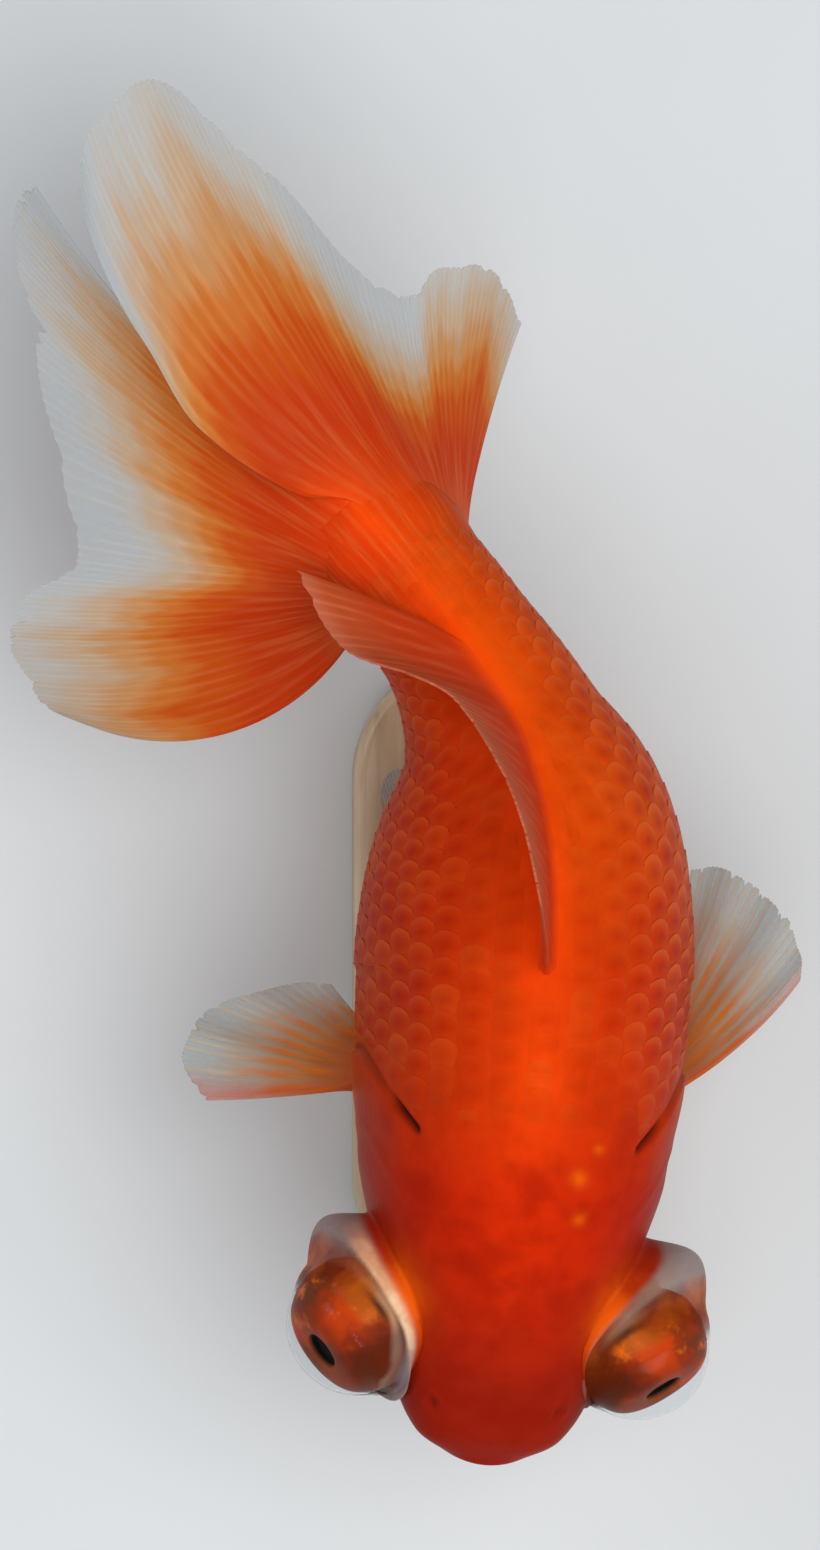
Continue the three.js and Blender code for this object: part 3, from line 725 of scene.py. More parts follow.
# %% Build the skin's points
grid_s, grid_angle = np.meshgrid(row_s, column_angle, indexing="ij")
PATCH_S = (4.0, 29.0)
PATCH_HALF = 55
first_row, last_row = np.interp(PATCH_S, row_s, np.arange(ROWS))
row_a = (np.arange(ROWS) - (first_row + last_row) / 2) / ((last_row - first_row) / 2)
sac_t = np.full(grid_s.shape, -1.0)
sac_turn = np.zeros(grid_s.shape)
spread_s = grid_s.copy()
spread_angle = grid_angle.copy()
patch_radius = np.full(grid_s.shape, 9.0)
for side in SIDES.values():
    middle_angle = 90 if side > 0 else 270
    a = np.broadcast_to(row_a[:, None], grid_s.shape)
    b = side * (middle_angle - grid_angle) / PATCH_HALF
    inside = (np.abs(a) < 1) & (np.abs(b) < 1)
    x = np.where(inside, a * np.sqrt(np.maximum(1 - b * b / 2, 0)), 0)
    y = np.where(inside, b * np.sqrt(np.maximum(1 - a * a / 2, 0)), 0)
    radius = np.hypot(x, y)
    patch_radius = np.where(inside, radius, patch_radius)
    turn = np.arctan2(y, x)
    oval_s, oval_level = socket_oval(turn)
    oval_angle = angle_at_level(oval_s, oval_level)
    oval_angle = oval_angle if side > 0 else 360 - oval_angle
    share = np.clip((radius - RING_ROOT) / (1 - RING_ROOT), 0, 1)
    ring = inside & (radius >= RING_ROOT)
    spread_s = np.where(ring, mix(oval_s, grid_s, share), spread_s)
    spread_angle = np.where(ring, mix(oval_angle, grid_angle, share), spread_angle)
    on_sac = inside & (radius < RING_ROOT)
    sac_t = np.where(on_sac, (RING_ROOT - radius) / (RING_ROOT - RING_INNER), sac_t)
    sac_turn = np.where(inside, turn, sac_turn)
skin = body_point(spread_s, spread_angle, skin_depth(spread_s))
normals = body_normal(spread_s, spread_angle)
for side in SIDES.values():
    here = (sac_t >= 0) & ((grid_angle < 180) == (side > 0))
    bulb = sac_point(side, sac_turn, np.clip(sac_t, 0, 1))
    centre, axis, *_ = eye_frame(side)
    closing = np.clip(sac_t - 1, 0, 1)[..., None] / (RING_INNER / (RING_ROOT - RING_INNER))
    middle = centre + axis * (FOLD[1] - 0.5)
    bulb = np.where(closing > 0, mix(bulb, middle, np.clip(closing, 0, 1)), bulb)
    skin = np.where(here[..., None], bulb, skin)
print("sac points:", int((sac_t >= 0).sum()))

# %% [markdown]
# ## Gills, lips and nostrils
# A gill cover is a bony plate under the skin: its front melts into the cheek and its rear edge stands
# off the body, with a dark slit behind it. The lips are a low ring round the snout's tip with the
# mouth drawn in between them, and each nostril is a small pit with a raised edge. All of these push
# the skin's points along its normals.


# %% Relief of the head
gill_edge = curve_through(
    (28, 30.2), (35, 31.8), (44, 33.6), (50, 35), (56, 36.4), (62.5, 38), (69, 39.5), (80, 41), (90, 41),
    (100, 39.8), (112, 36.5), (122, 32.5), (130, 29),
)


def from_ridge(angle):
    """The turn away from the ridge of the back, 0 to 180 on both sides."""
    return np.minimum(angle % 360, 360 - angle % 360)


def head_relief(s, angle, off_sac):
    """Height of the head's features over the plain body, in mm, and how much painted shade darkens the
    creases.
    """
    turn = from_ridge(angle)
    behind = s - gill_edge(turn)
    at_side = smoothstep(turn, 38, 54) * (1 - smoothstep(turn, 112, 128))
    plate = GILL_FLARE * at_side * (1 - smoothstep(behind, -0.35, 0.05)) * smoothstep(behind, -9, -1)
    slash = smoothstep(turn, 41.5, 44.5) * (1 - smoothstep(turn, 51, 59))
    slit = np.exp(-(((behind - 0.3) / 0.38) ** 2)) * mix(0.22 * at_side, 1, slash)
    ledge = 0.1 * np.exp(-(((behind + 7.5) / 0.9) ** 2)) * at_side
    place = body_point(s, angle)
    centre_line, _, left = spine_frame(s)
    across = np.einsum("...k,...k->...", place - centre_line, left)
    upward = place[..., 2] - (SNOUT_LEVEL - 2.2)
    lips_round = np.hypot(across / 1.5, upward)
    near_tip = 1 - smoothstep(s, 2.4, 4.4)
    lips = 0.3 * np.exp(-(((lips_round - 2.4) / 1.0) ** 2)) * near_tip
    gape = np.hypot(across / 3.5, (upward + 0.1 * across * across / 3.5) / 0.8)
    mouth = (1 - smoothstep(gape, 0.35, 1.05)) * near_tip
    pit = np.hypot((s - 6.6) / 1.0, (turn - 41) / 6.5)
    nostril = np.exp(-((pit / 0.55) ** 2))
    flap = np.exp(-(((pit - 1.05) / 0.3) ** 2)) * smoothstep((s - 6.6) / 1.0, -0.9, 0.4)
    blunt = 0.8 * (1 - smoothstep(s, 0, 3.6))
    height = plate - 0.8 * slit + ledge + lips - blunt - 1.5 * mouth - 0.3 * nostril + 0.2 * flap
    # Painted shade: the slits, the mouth and the nostrils are darkened in colour.
    dark = np.clip(slit * mix(0.2, 1.1, slash) + 0.8 * mouth + 0.25 * nostril, 0, 1)
    return height * off_sac, dark * off_sac


off_sac = (sac_t < 0).astype(float)
relief_height, crease_shade = head_relief(spread_s, spread_angle, off_sac)
skin = skin + normals * relief_height[..., None]

# %% Soften where the sacs leave the cheeks
SOFT_BAND = 0.07
SOFT_PASSES = 14
near_root = np.exp(-(((patch_radius - RING_ROOT) / SOFT_BAND) ** 2))
print("softened points:", int((near_root > 0.1).sum()))
for _ in range(SOFT_PASSES):
    neighbours = (np.roll(skin, 1, axis=1) + np.roll(skin, -1, axis=1)) / 4
    neighbours += (np.roll(skin, 1, axis=0) + np.roll(skin, -1, axis=0)) / 4
    skin = mix(skin, neighbours, 0.6 * near_root[..., None])

# %% Close the ends
cap_rows = body_point(SPINE_LENGTH, column_angle, -SCALE_DEPTH)
cap_middle = cap_rows.mean(axis=0)
end_back = spine_frame(np.array(float(SPINE_LENGTH)))[1]
CAP_BULGE = 1.4
cap = mix(cap_rows, cap_middle, (1 - np.cos(cap_turn))[:, None, None])
cap = cap + end_back * CAP_BULGE * np.sin(cap_turn)[:, None, None]
cap_out = mix(normals[-1:], np.broadcast_to(end_back, (1, COLUMNS, 3)), np.sin(cap_turn)[:, None, None])
points = np.concatenate([skin, cap]).reshape(-1, 3)
outwards = np.concatenate([normals, cap_out]).reshape(-1, 3)


# %% Flesh over the fins' roots
def welt(points, roots):
    """A soft ridge of flesh over each fin's root: height·exp(−(distance / 2)²) from the root's line."""
    height = np.zeros(len(points))
    for name, ((s0, angle0), (s1, angle1)) in roots.items():
        share = np.linspace(0, 1, 60)
        line = body_point(mix(s0, s1, share), mix(angle0, angle1, share), -SCALE_DEPTH)
        near = np.abs(points - line.mean(axis=0)).max(axis=1) < 30
        apart = np.linalg.norm(points[near][:, None] - line[None], axis=-1).min(axis=1)
        tall = 0.4 if "tail" in name else 0.2
        height[near] = np.maximum(height[near], tall * np.exp(-((apart / 2) ** 2)))
    return height


points = points + outwards * welt(points, FIN_ROOTS)[:, None]
all_rows = ROWS + len(cap_turn)
tip = skin[0].mean(axis=0)
points = np.vstack([points, tip, cap_middle + end_back * CAP_BULGE])
skin_faces = tube_faces(len(points), all_rows, COLUMNS)


# %% Markings that skin and scales share
def markings(s, angle):
    """What skin and scales share: along 0–1, round 0 on the ridge to 1 under the belly, an orange mark that
    also holds painted light on the left flank, and a brown mark that also holds painted shade in the gill
    slits.
    """
    turn = from_ridge(angle)
    orange_and_lit_side = 0.95 * np.exp(-(((s - 17.3) / 3.6) ** 2) - ((turn - 62) / 18) ** 2)
    left_angle = np.where(angle < 180, angle, 999)
    for at, across, size in ((30.5, 17, 0.8), (26.5, 20, 0.7), (33.5, 24, 0.5)):
        spot = ((s - at) / size) ** 2 + ((left_angle - across) / (4 * size)) ** 2
        orange_and_lit_side = orange_and_lit_side + 0.8 * np.exp(-spot)
    is_left = (angle % 360) < 180
    on_left = np.where(is_left, 1.0, 0.4)
    leftward = np.where(is_left, turn, -turn)
    # Painted light: a brighter orange over the fish's left flank, as if lit from that side.
    painted_lit_side = 0.38 * smoothstep(leftward, -10, 12) * smoothstep(s, 46, 66)
    orange_and_lit_side = np.maximum(orange_and_lit_side, painted_lit_side * (1 - 0.6 * smoothstep(s, 90, 100)))
    brown_and_slit_shade = 0.75 * np.exp(-(((s - 8.5) / 4.2) ** 2) - ((turn - 78) / 24) ** 2) * on_left
    # Painted shade: a dark band along the slit behind the gill cover, and a darker stroke at its upper end.
    past_slit = s - gill_edge(turn) - 0.35
    slit_shade_band = np.exp(-((past_slit / 0.5) ** 2)) * smoothstep(turn, 55, 63)
    brown_and_slit_shade = np.maximum(brown_and_slit_shade, 0.55 * slit_shade_band * (1 - smoothstep(turn, 96, 110)))
    slash = smoothstep(turn, 41, 43.5) * (1 - smoothstep(turn, 52, 60))
    brown_and_slit_shade = np.maximum(brown_and_slit_shade, 0.8 * np.exp(-((past_slit / 0.4) ** 2)) * slash)
    return {"along": s / SPINE_LENGTH, "round": turn / 180, "orange_and_lit_side": np.clip(orange_and_lit_side, 0, 1), "brown_and_slit_shade": brown_and_slit_shade}


# %% Where the balloon is, and how clear
cap_s = np.full((len(cap_turn), COLUMNS), float(SPINE_LENGTH))
cap_angle = np.broadcast_to(column_angle, cap_s.shape)


def whole(values, cap_values, front, rear):
    """Rows, cap rows and the two closing points as one list."""
    return np.concatenate([values.ravel(), cap_values.ravel(), [front, rear]])


marks = markings(whole(spread_s, cap_s, 0, SPINE_LENGTH), whole(spread_angle, cap_angle, 0, 180))
forward_share = -np.cos(sac_turn)
upward_share = np.sin(sac_turn)
left_side = (grid_angle < 180).astype(float)
flesh_edge = smoothstep(upward_share, 0.1, 0.8) * mix(0.06, 0.14, left_side)
sac = smoothstep(sac_t - flesh_edge, 0, mix(0.2, 0.1, smoothstep(-forward_share, 0.2, 0.9)))
front = smoothstep(forward_share, 0.0, 0.7)
cream = smoothstep(sac_t, 0.04, 0.16) * (1 - smoothstep(sac_t, 0.4, 0.6))
cream = cream * smoothstep(upward_share + 0.4 * forward_share, -0.15, 0.5)
cream = cream * mix(1, 0.3, left_side) * (1 - 0.75 * front)
behind_ball = smoothstep(-forward_share, 0.3, 0.75)
behind_ball = behind_ball * smoothstep(sac_t, 0.42, 0.56) * (1 - smoothstep(sac_t, 0.64, 0.76))
pigment = smoothstep(forward_share, -0.5, 0.1) * left_side
cover = pigment * (1 - smoothstep(sac_t, 0.62, 0.82)) * smoothstep(forward_share, -0.35, 0.4)
pigment = np.maximum(pigment, smoothstep(behind_ball, 0, 0.3))
cover = np.maximum(cover, 0.8 * behind_ball)
clear = mix(0.05, mix(0.42, 0.1, front), smoothstep(sac_t, 0.0, 0.25)) * (1 - 0.85 * cream)
below = 0.2 * smoothstep(-upward_share, -0.1, 0.5)
over_ball = smoothstep(sac_t, mix(0.36, 0.55, front) + below, mix(0.55, 0.75, front) + below)
clear = mix(clear, 0.992, over_ball) * (1 - 0.95 * cover)
clear = sac * mix(clear, 1, smoothstep(sac_t, 0.74, 0.84))
print("clearest skin lets through", round(float(clear.max()), 2))

# %% Make the skin
zero = np.zeros_like(cap_s)
skin_values = marks | {
    "sac": whole(sac, zero, 0, 0),
    "clear": whole(clear, zero, 0, 0),
    "pigment": whole(pigment * sac, zero, 0, 0),
    "cream": whole(cream, zero, 0, 0),
    "forward": whole(smoothstep(forward_share, -0.4, 0.6), zero, 0, 0),
    "crease_shade": whole(crease_shade, zero, 0, 0),
}
skin_piece = new_piece("skin", points, skin_faces, skin_finish, skin_values)
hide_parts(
    "head", "trunk", "tail_stock", "mouth", "gill_cover_left", "gill_cover_right",
    "eye_socket_left", "eye_socket_right",
)

# %% The skin's own unwrap
corner_rows = np.repeat(np.arange(all_rows - 1.0), COLUMNS)[:, None] + np.array([0, 0, 1, 1])
corner_columns = np.tile(np.arange(COLUMNS), all_rows - 1)[:, None] + np.array([0, 1, 1, 0])
quad_uv = np.stack([corner_columns / COLUMNS, 0.01 + 0.98 * corner_rows / all_rows], -1)
j = np.arange(COLUMNS)


def fan_uv(across, down):
    """The corners of one end's triangles: across in columns, and three values down the map."""
    return np.stack([np.stack(across, -1) / COLUMNS, np.tile(down, (COLUMNS, 1))], -1).ravel()


front_uv = fan_uv([j + 0.5, j + 1, j], [0, 0.01, 0.01])
rear_uv = fan_uv([j + 0.5, j, j + 1], [1, 0.98, 0.98])
layer = skin_piece.data.uv_layers.new(name="OFBake")
whole_uv = np.concatenate([quad_uv.ravel(), front_uv, rear_uv])
layer.data.foreach_set("uv", whole_uv.astype(np.float32))

# %% [markdown]
# ## The coat of scales
# Scales grow in rows along the body, each row set half a scale behind its neighbour, and every scale
# lies over the front of the one behind it. Counting the rows up and down from the side line, as
# ichthyologists do, keeps them even. Each scale here is a thin plate with a round rear edge: its
# front is sunk in the skin and its rear edge rises by about a tenth of a millimetre. All the scales
# of one side are computed at once and joined in one mesh.

# %% A table from the side line's arc to the angle
table_s = np.arange(0, 106, 0.5)
table_turn = np.arange(0, 180.5, 1.0)
ring_points = body_point(table_s[:, None], table_turn[None, :], -SCALE_DEPTH)
ring_steps = np.linalg.norm(np.diff(ring_points, axis=1), axis=-1)
arc = np.concatenate([np.zeros((len(table_s), 1)), np.cumsum(ring_steps, axis=1)], axis=1)
side_arc = arc[:, [90]]
upper_arc = side_arc[:, 0]
lower_arc = arc[:, -1] - upper_arc
share_grid = np.linspace(-1, 1, 121)
angle_table = np.stack([
    np.interp(
        np.where(share_grid > 0, upper_arc[k] * (1 - share_grid), upper_arc[k] - share_grid * lower_arc[k]),
        arc[k], table_turn,
    )
    for k in range(len(table_s))
])
ROWS_UP = 9
ROWS_DOWN = 8
print("half way round the widest station:", float(arc[:, -1].max().round(1)), "mm")
upper_at = curve_through(*zip(table_s[::8].tolist(), upper_arc[::8].tolist()))
lower_at = curve_through(*zip(table_s[::8].tolist(), lower_arc[::8].tolist()))


def row_pitch(s, upwards):
    """Width of a row: the quarter's arc shared out up to the belly's middle, then slowly narrower."""
    belly_s = np.minimum(s, BELLY["at"])
    front = np.where(upwards, upper_at(belly_s) / ROWS_UP, lower_at(belly_s) / ROWS_DOWN)
    return front * (1 - 0.40 * smoothstep(s, 50, 98))


def on_side(s, arc_up, side):
    """The angle at a signed arc above the side line; past the ridge or the belly it goes on round."""
    share = np.where(arc_up > 0, arc_up / upper_at(s), arc_up / lower_at(s))
    over = np.abs(share) > 1
    held = np.where(over, np.sign(share) * (2 - np.abs(share)), share)
    i = np.clip(s / 0.5, 0, len(table_s) - 1.001)
    j = np.clip((held + 1) * 60, 0, 119.999)
    i0 = i.astype(int)
    j0 = j.astype(int)
    fi = i - i0
    fj = j - j0
    top = angle_table[i0, j0] * (1 - fj) + angle_table[i0, j0 + 1] * fj
    bottom = angle_table[i0 + 1, j0] * (1 - fj) + angle_table[i0 + 1, j0 + 1] * fj
    angle = top * (1 - fi) + bottom * fi
    return np.where(over, -1, 1) * side * angle


# %% Places of the scales
SPACING = curve_through((20, 2.75), (55, 2.75), (98, 2.05), (106, 2.05))


def coat_starts(angle):
    """Where the coat begins along the body: behind the gill cover's rear edge, and at the nape above it."""
    return np.maximum(gill_edge(from_ridge(angle)) + 0.7, 31.5)


def scale_places(side):
    """Station, signed arc and row of every scale on one side, set in quincunx."""
    fine_s = np.arange(20, 106, 0.05)
    spacing = SPACING(fine_s)
    count = np.cumsum(0.05 / spacing)
    stations, arcs, rows = [], [], []
    for row in range(-ROWS_DOWN, ROWS_UP + 1):
        s = np.interp(np.arange(0, count[-1], 1) + (0.5 if row % 2 else 0), count, fine_s)
        pitch = row_pitch(s, row > 0)
        lift = row * pitch
        quarter = np.where(row > 0, upper_at(s), lower_at(s))
        shared = abs(row) == (ROWS_UP if row > 0 else ROWS_DOWN)
        overlap = -0.2 if shared and side < 0 else 0.1
        keep = (s < SPINE_LENGTH - 1.5) & (np.abs(lift) < quarter + overlap)
        if shared:
            keep &= s < 51
        keep &= s > coat_starts(on_side(s, lift, side))
        stations.append(s[keep])
        arcs.append(lift[keep])
        rows.append(np.full(keep.sum(), row))
    return np.concatenate(stations), np.concatenate(arcs), np.concatenate(rows)


# %% Shape of one scale, and all of them at once
scale_y = np.linspace(-1, 1, 7)[None, :]
scale_x = np.array([0, 0.36, 0.6, 0.78, 0.91, 1])[:, None]
ACROSS = scale_y.size
ALONG = scale_x.size


def coat(side, rng):
    """Every scale's points: x runs from a sunk front to a round rear edge, whose x falls with y as
    0.95·spacing·(√(1 − (0.97·y)²) − 1), and the height rises evenly from front to rear."""
    s, lift, row = scale_places(side)
    spacing = SPACING(s)[:, None, None]
    pitch = row_pitch(s, lift > 0)[:, None, None]
    wobble = rng.uniform(-1, 1, (len(s), 3))
    length = spacing * (1.5 + 0.05 * wobble[:, 0, None, None])
    y = scale_y[None] * np.ones_like(scale_x[None])
    station = s[:, None, None]
    row_lift = lift[:, None, None]
    round_edge = np.sqrt(np.maximum(1 - (0.97 * y) ** 2, 0))
    rear = spacing * 0.5 + spacing * 0.95 * (round_edge - 1)
    front = spacing * 0.5 - length
    x = mix(front, np.maximum(rear, front + 0.3), scale_x[None])
    half_width = 0.82 * pitch * (0.86 + 0.14 * np.sin(np.pi * scale_x[None]) ** 0.5)
    place_s = station + x
    place_arc = row_lift * row_pitch(place_s, row_lift > 0) / pitch + y * half_width
    angle = on_side(place_s, place_arc, side)
    from_rear = spacing * 0.5 - x
    to_ridge = np.abs(place_arc) / np.where(place_arc > 0, upper_at(place_s), 1e9)
    off_ridge = mix(0.2, 1, smoothstep(to_ridge, 0.9, 0.5))
    lasting = smoothstep(place_s, 31.5, 46) * (1 - smoothstep(place_s, 86, 98))
    grown = lasting * off_ridge
    rise = mix(-0.05, 0.03, smoothstep(lasting, 0.02, 0.3))
    rise = rise + 0.11 * grown * (1 - from_rear / (spacing * 1.25))
    dome = 0.05 * (1 - y * y) * scale_x[None] * grown
    sunk = 0.18 * smoothstep(np.abs(y), 0.4, 1)
    turn = from_ridge(angle)
    past_gill = np.maximum(smoothstep(place_s - gill_edge(turn), 0.5, 1.3), 1 - smoothstep(turn, 34, 41))
    height = mix(-1.3, rise + dome - sunk + 0.01 * wobble[:, 1, None, None], past_gill)
    base = body_point(place_s, angle, -SCALE_DEPTH)
    normal = body_normal(place_s, angle)
    top = base + normal * height[..., None]
    under = base + normal * mix(-1.5, -0.22, past_gill)[..., None]
    edge = (1 - smoothstep((rear - x) / spacing, 0.0, 0.3)) * grown * (1 if side > 0 else 0.4)
    core = np.exp(-(((from_rear - spacing * 0.62) / (spacing * 0.26)) ** 2) - (y / 0.44) ** 2) * lasting
    core = core * (1 - 0.6 * smoothstep(place_s, 64, 86)) * (1 - 0.7 * smoothstep(turn, 95, 140))
    return top, under, place_s, angle, edge, core, s, row, lift


# %% One mesh for one side's scales
def coat_piece(name, side, rng):
    """All scales of one side as one mesh, with the markings, the edge and the core of each scale."""
    top, under, place_s, angle, edge, core, s, row, lift = coat(side, rng)
    count = len(s)
    cells = ACROSS * ALONG
    rim = rim_of(ALONG, ACROSS)
    points = np.concatenate([top.reshape(count, cells, 3), under.reshape(count, cells, 3)[:, rim]], axis=1)
    each = cells + len(rim)
    upper = grid_faces(ALONG, ACROSS)
    lower = cells + np.arange(len(rim))
    strip = np.stack([np.roll(rim, -1), rim, lower, np.roll(lower, -1)], -1)
    quads = np.concatenate([upper, strip])
    if side > 0:
        quads = quads[:, ::-1]
    floor_face = lower[::-1] if side < 0 else lower
    shift = (np.arange(count) * each)[:, None, None]
    faces = [(quads[None] + shift).reshape(-1, 4), floor_face[None] + shift[:, :, 0]]

    def spread(values):
        flat = np.broadcast_to(values, (count, ALONG, ACROSS)).reshape(count, cells)
        return np.concatenate([flat, flat[:, rim]], axis=1).ravel()

    values = markings(spread(place_s), spread(angle) % 360)
    values |= {"edge": spread(edge), "core": spread(core)}
    values["line"] = spread(np.exp(-((scale_y[None] / 0.16) ** 2)) * (row == 0)[:, None, None])
    values["tint"] = spread(rng.uniform(0, 1, count)[:, None, None])
    piece = new_piece(name, points.reshape(-1, 3), faces, scale_finish, values, sharp=40)
    root_u = (on_side(s, lift, side) % 360) / 360
    root_v = 0.01 + 0.98 * np.interp(s, row_s, row_share)
    patch_u = root_u[:, None, None] + 0.0015 * scale_y[None]
    patch_v = root_v[:, None, None] + 0.003 * (scale_x[None] - 0.5)
    add_map(piece, "OFBake", np.stack([spread(patch_u), spread(patch_v)], -1))
    print(name, count, "scales")


# %% Scale material
scale_finish, tree, give = new_material("goldfish scales", Subsurface_Scale=0.0012, **FLESH_LOOK)
flesh = tree.flesh()
flank = tree.between(tree.attribute("round"), 0.06, 0.36)
colour = flesh["Colour"]
core_share = tree.times(tree.attribute("core"), tree.maths("MULTIPLY_ADD", flank, 0.5, 0.3))
colour = tree.blend(colour, srgb(156, 18, 3), core_share)
edge_share = tree.times(tree.attribute("edge"), tree.maths("MULTIPLY_ADD", flank, 0.5, 0.03))
colour = tree.blend(colour, srgb(208, 106, 56), edge_share)
colour = tree.blend(colour, srgb(120, 34, 14), tree.times(tree.attribute("line"), 0.25))
tint = tree.times(tree.maths("SUBTRACT", tree.attribute("tint"), 0.5), 0.16)
colour = tree.blend(colour, srgb(236, 120, 40), tree.maths("MAXIMUM", tint, 0.0))
give("Base Color", colour)
give("Normal", tree.emboss(0.2, 0.00015, tree.spots(1800, 2)))

SCALE_SEED = 7
scale_rng = np.random.default_rng(SCALE_SEED)
for name, side in SIDES.items():
    coat_piece("scales_" + name, side, scale_rng)

# %% [markdown]
# ## Fins
# A fin is a fan of bony rays with clear skin between them. Each ray forks again and again towards the
# margin, so the fan looks finely combed, and the margin is a little ragged where the skin has worn
# back between the ray tips. The fan's middle surface is the CAD's own: a few key rays give length,
# heading, curl, rise and sag, and everything between them is interpolated. Here it gets thickness,
# raised rays, a scalloped margin and a fading colour.


# %% Fan surface
WALK_STEPS = 12


def fan_root(fin, u):
    """Station and angle of the fin's root for a share u of the fan."""
    (s0, angle0), (s1, angle1) = fin["root"]
    return mix(s0, s1, u), mix(angle0, angle1, u)


def fan_surface(fin):
    """Middle surface: from the root each ray walks out in 12 steps on heading + curl·t and rise − sag·t."""
    columns = np.array(fin["rays"], float)
    length, heading, curl, rise, sag = (
        curve_through(*zip(columns[:, 0].tolist(), columns[:, k].tolist())) for k in range(1, 6)
    )
    amount, waves, phase = fin["ripple"]
    def surface(u, v):
        point = body_point(*fan_root(fin, u), -0.8)
        for k in range(WALK_STEPS):
            t = (k + 0.5) / WALK_STEPS * v
            up = np.radians(rise(u) - sag(u) * t)
            stride = (length(u) * v / WALK_STEPS)[..., None]
            point = point + level_direction(heading(u) + curl(u) * t) * stride * np.cos(up)[..., None]
            point[..., 2] += stride[..., 0] * np.sin(up)
        point[..., 2] += amount * v * v * np.sin(2 * np.pi * (waves * u + phase))
        return point

    return surface, length


def ray_relief(u, v, rays):
    """Raised rays, 1 on a ray and 0 between: cos² of the fan's share, forking twice on the way out."""
    one = 0.5 + 0.5 * np.cos(2 * np.pi * rays * u)
    two = 0.5 - 0.5 * np.cos(4 * np.pi * rays * u)
    four = 0.5 - 0.5 * np.cos(8 * np.pi * rays * u)
    first = smoothstep(v, 0.22, 0.45)
    second = smoothstep(v, 0.55, 0.8)
    return mix(mix(one, two, first), four, second)


def margin_wear(u, rays, rng, wear):
    """How far out the fin reaches: small scallops between ray tips, and a few deeper notches."""
    tips = 0.5 - 0.5 * np.cos(8 * np.pi * rays * u)
    slow = 0.5 + 0.5 * np.sin(2 * np.pi * (0.37 * rays * u + 0.2))
    reach = 1 - wear * (0.3 * (1 - tips) + 0.6 * slow)
    for _ in range(int(rays)):
        at = rng.uniform(0, 1)
        width = rng.uniform(0.004, 0.012)
        depth = wear * rng.uniform(0.4, 2.2)
        reach = reach - depth * np.exp(-np.abs((u - at) / width))
    return reach


# %% Fin plate
LAP_ROWS = 7


def lapped(fin, u, middle, normal, half):
    """Extra rows in front of the root: over the top of the body they slip flat under the skin within
    the lap's length, and further down its side they run straight on into the flesh."""
    w = np.linspace(1, 0, LAP_ROWS + 1)[:-1, None]
    s, angle = fan_root(fin, u[:1])
    on_top = 1 - smoothstep(u[:1], 0.3, 0.55)
    outer = mix(0.15, -0.5, w)
    over_body = body_point(s - fin["lap"] * w, angle + 0 * w, outer - half[:1])
    inward = middle[:1] - (middle[3:4] - middle[:1]) * w[..., None] * 1.5
    lap = mix(inward, over_body, on_top[..., None])
    skin_normal = body_normal(s - fin["lap"] * w, angle + 0 * w)
    facing = np.sign(np.einsum("...k,...k->...", skin_normal, normal[:1]))[..., None]
    lap_normal = unit(mix(normal[:1] + 0 * lap, skin_normal * facing, on_top[..., None]))
    return lap, lap_normal, s - fin["lap"] * w, angle + 0 * w, -w * fin["lap"] / 40


def fin_piece(name, fin, material, rng, *solids):
    """A closed thin plate round the fan's middle surface: filleted at the root, fine at the margin."""
    surface, length = fan_surface(fin)
    across, out = fin["mesh"]
    u = np.linspace(0, 1, across)[None, :]
    v = (np.linspace(0, 1, out) ** 0.9)[:, None]
    reach = margin_wear(u, fin["count"], rng, fin["wear"])
    u, v = np.broadcast_arrays(u, v * reach)
    s, angle = fan_root(fin, u)
    middle = surface(u, v)
    step = 0.002
    du = surface(np.minimum(u + step, 1), v) - surface(np.maximum(u - step, 0), v)
    dv = surface(u, v + step) - surface(u, np.maximum(v - step, 0))
    normal = unit(np.cross(du, dv))
    body_up = body_normal(s[:1], angle[:1])
    upright = 1 - np.abs(np.einsum("...k,...k->...", body_up, normal[:1]))
    fillet = 1.0 * upright * np.exp(-v * length(u) / 1.1)
    edge = np.minimum(u, 1 - u)
    half = (mix(0.5, 0.1, np.sqrt(v)) + fillet) * mix(0.3, 1, smoothstep(edge, 0, 0.02))
    rays = ray_relief(u, v, fin["count"]) * 0.008 * smoothstep(v, 0.2, 0.55)
    if "lap" in fin:
        lift = 0.4 * (1 - smoothstep(v, 0, 0.14)) * (1 - smoothstep(u, 0.3, 0.55))
        middle = middle + body_up * lift[..., None]
        widen = fin["widen"] * (1 - smoothstep(u, 0, 0.1))
        widen = widen * (1 - smoothstep(v, 0.4, 0.62)) * smoothstep(v, 0, 0.1)
        middle = middle - unit(du) * widen[..., None]
        lap, lap_normal, lap_s, lap_angle, lap_v = lapped(fin, u, middle, normal, half)
        middle = np.concatenate([lap, middle])
        normal = np.concatenate([lap_normal, normal])
        half = np.concatenate([np.repeat(half[:1], LAP_ROWS, axis=0), half])
        rays = np.concatenate([np.zeros_like(lap_s), rays])
        s, angle = np.concatenate([lap_s, s]), np.concatenate([lap_angle, angle])
        u = np.concatenate([np.repeat(u[:1], LAP_ROWS, axis=0), u])
        v = np.concatenate([lap_v + 0 * lap_s, v])
    thick = normal * (half + rays)[..., None]
    points, faces = plate(middle + thick, middle - thick)
    colour_reach = curve_through(*fin["colour"])(u)
    values = markings(s % 360, angle % 360) | {"reach": v * 0.6 / colour_reach}
    values = {word: np.tile(value.ravel(), 2) for word, value in values.items()}
    piece = new_piece(name, points, outward(points, faces), material, values, sharp=55)
    add_map(piece, "FanMap", np.tile(np.stack([u, v], -1).reshape(-1, 2), (2, 1)))
    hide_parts(*solids)


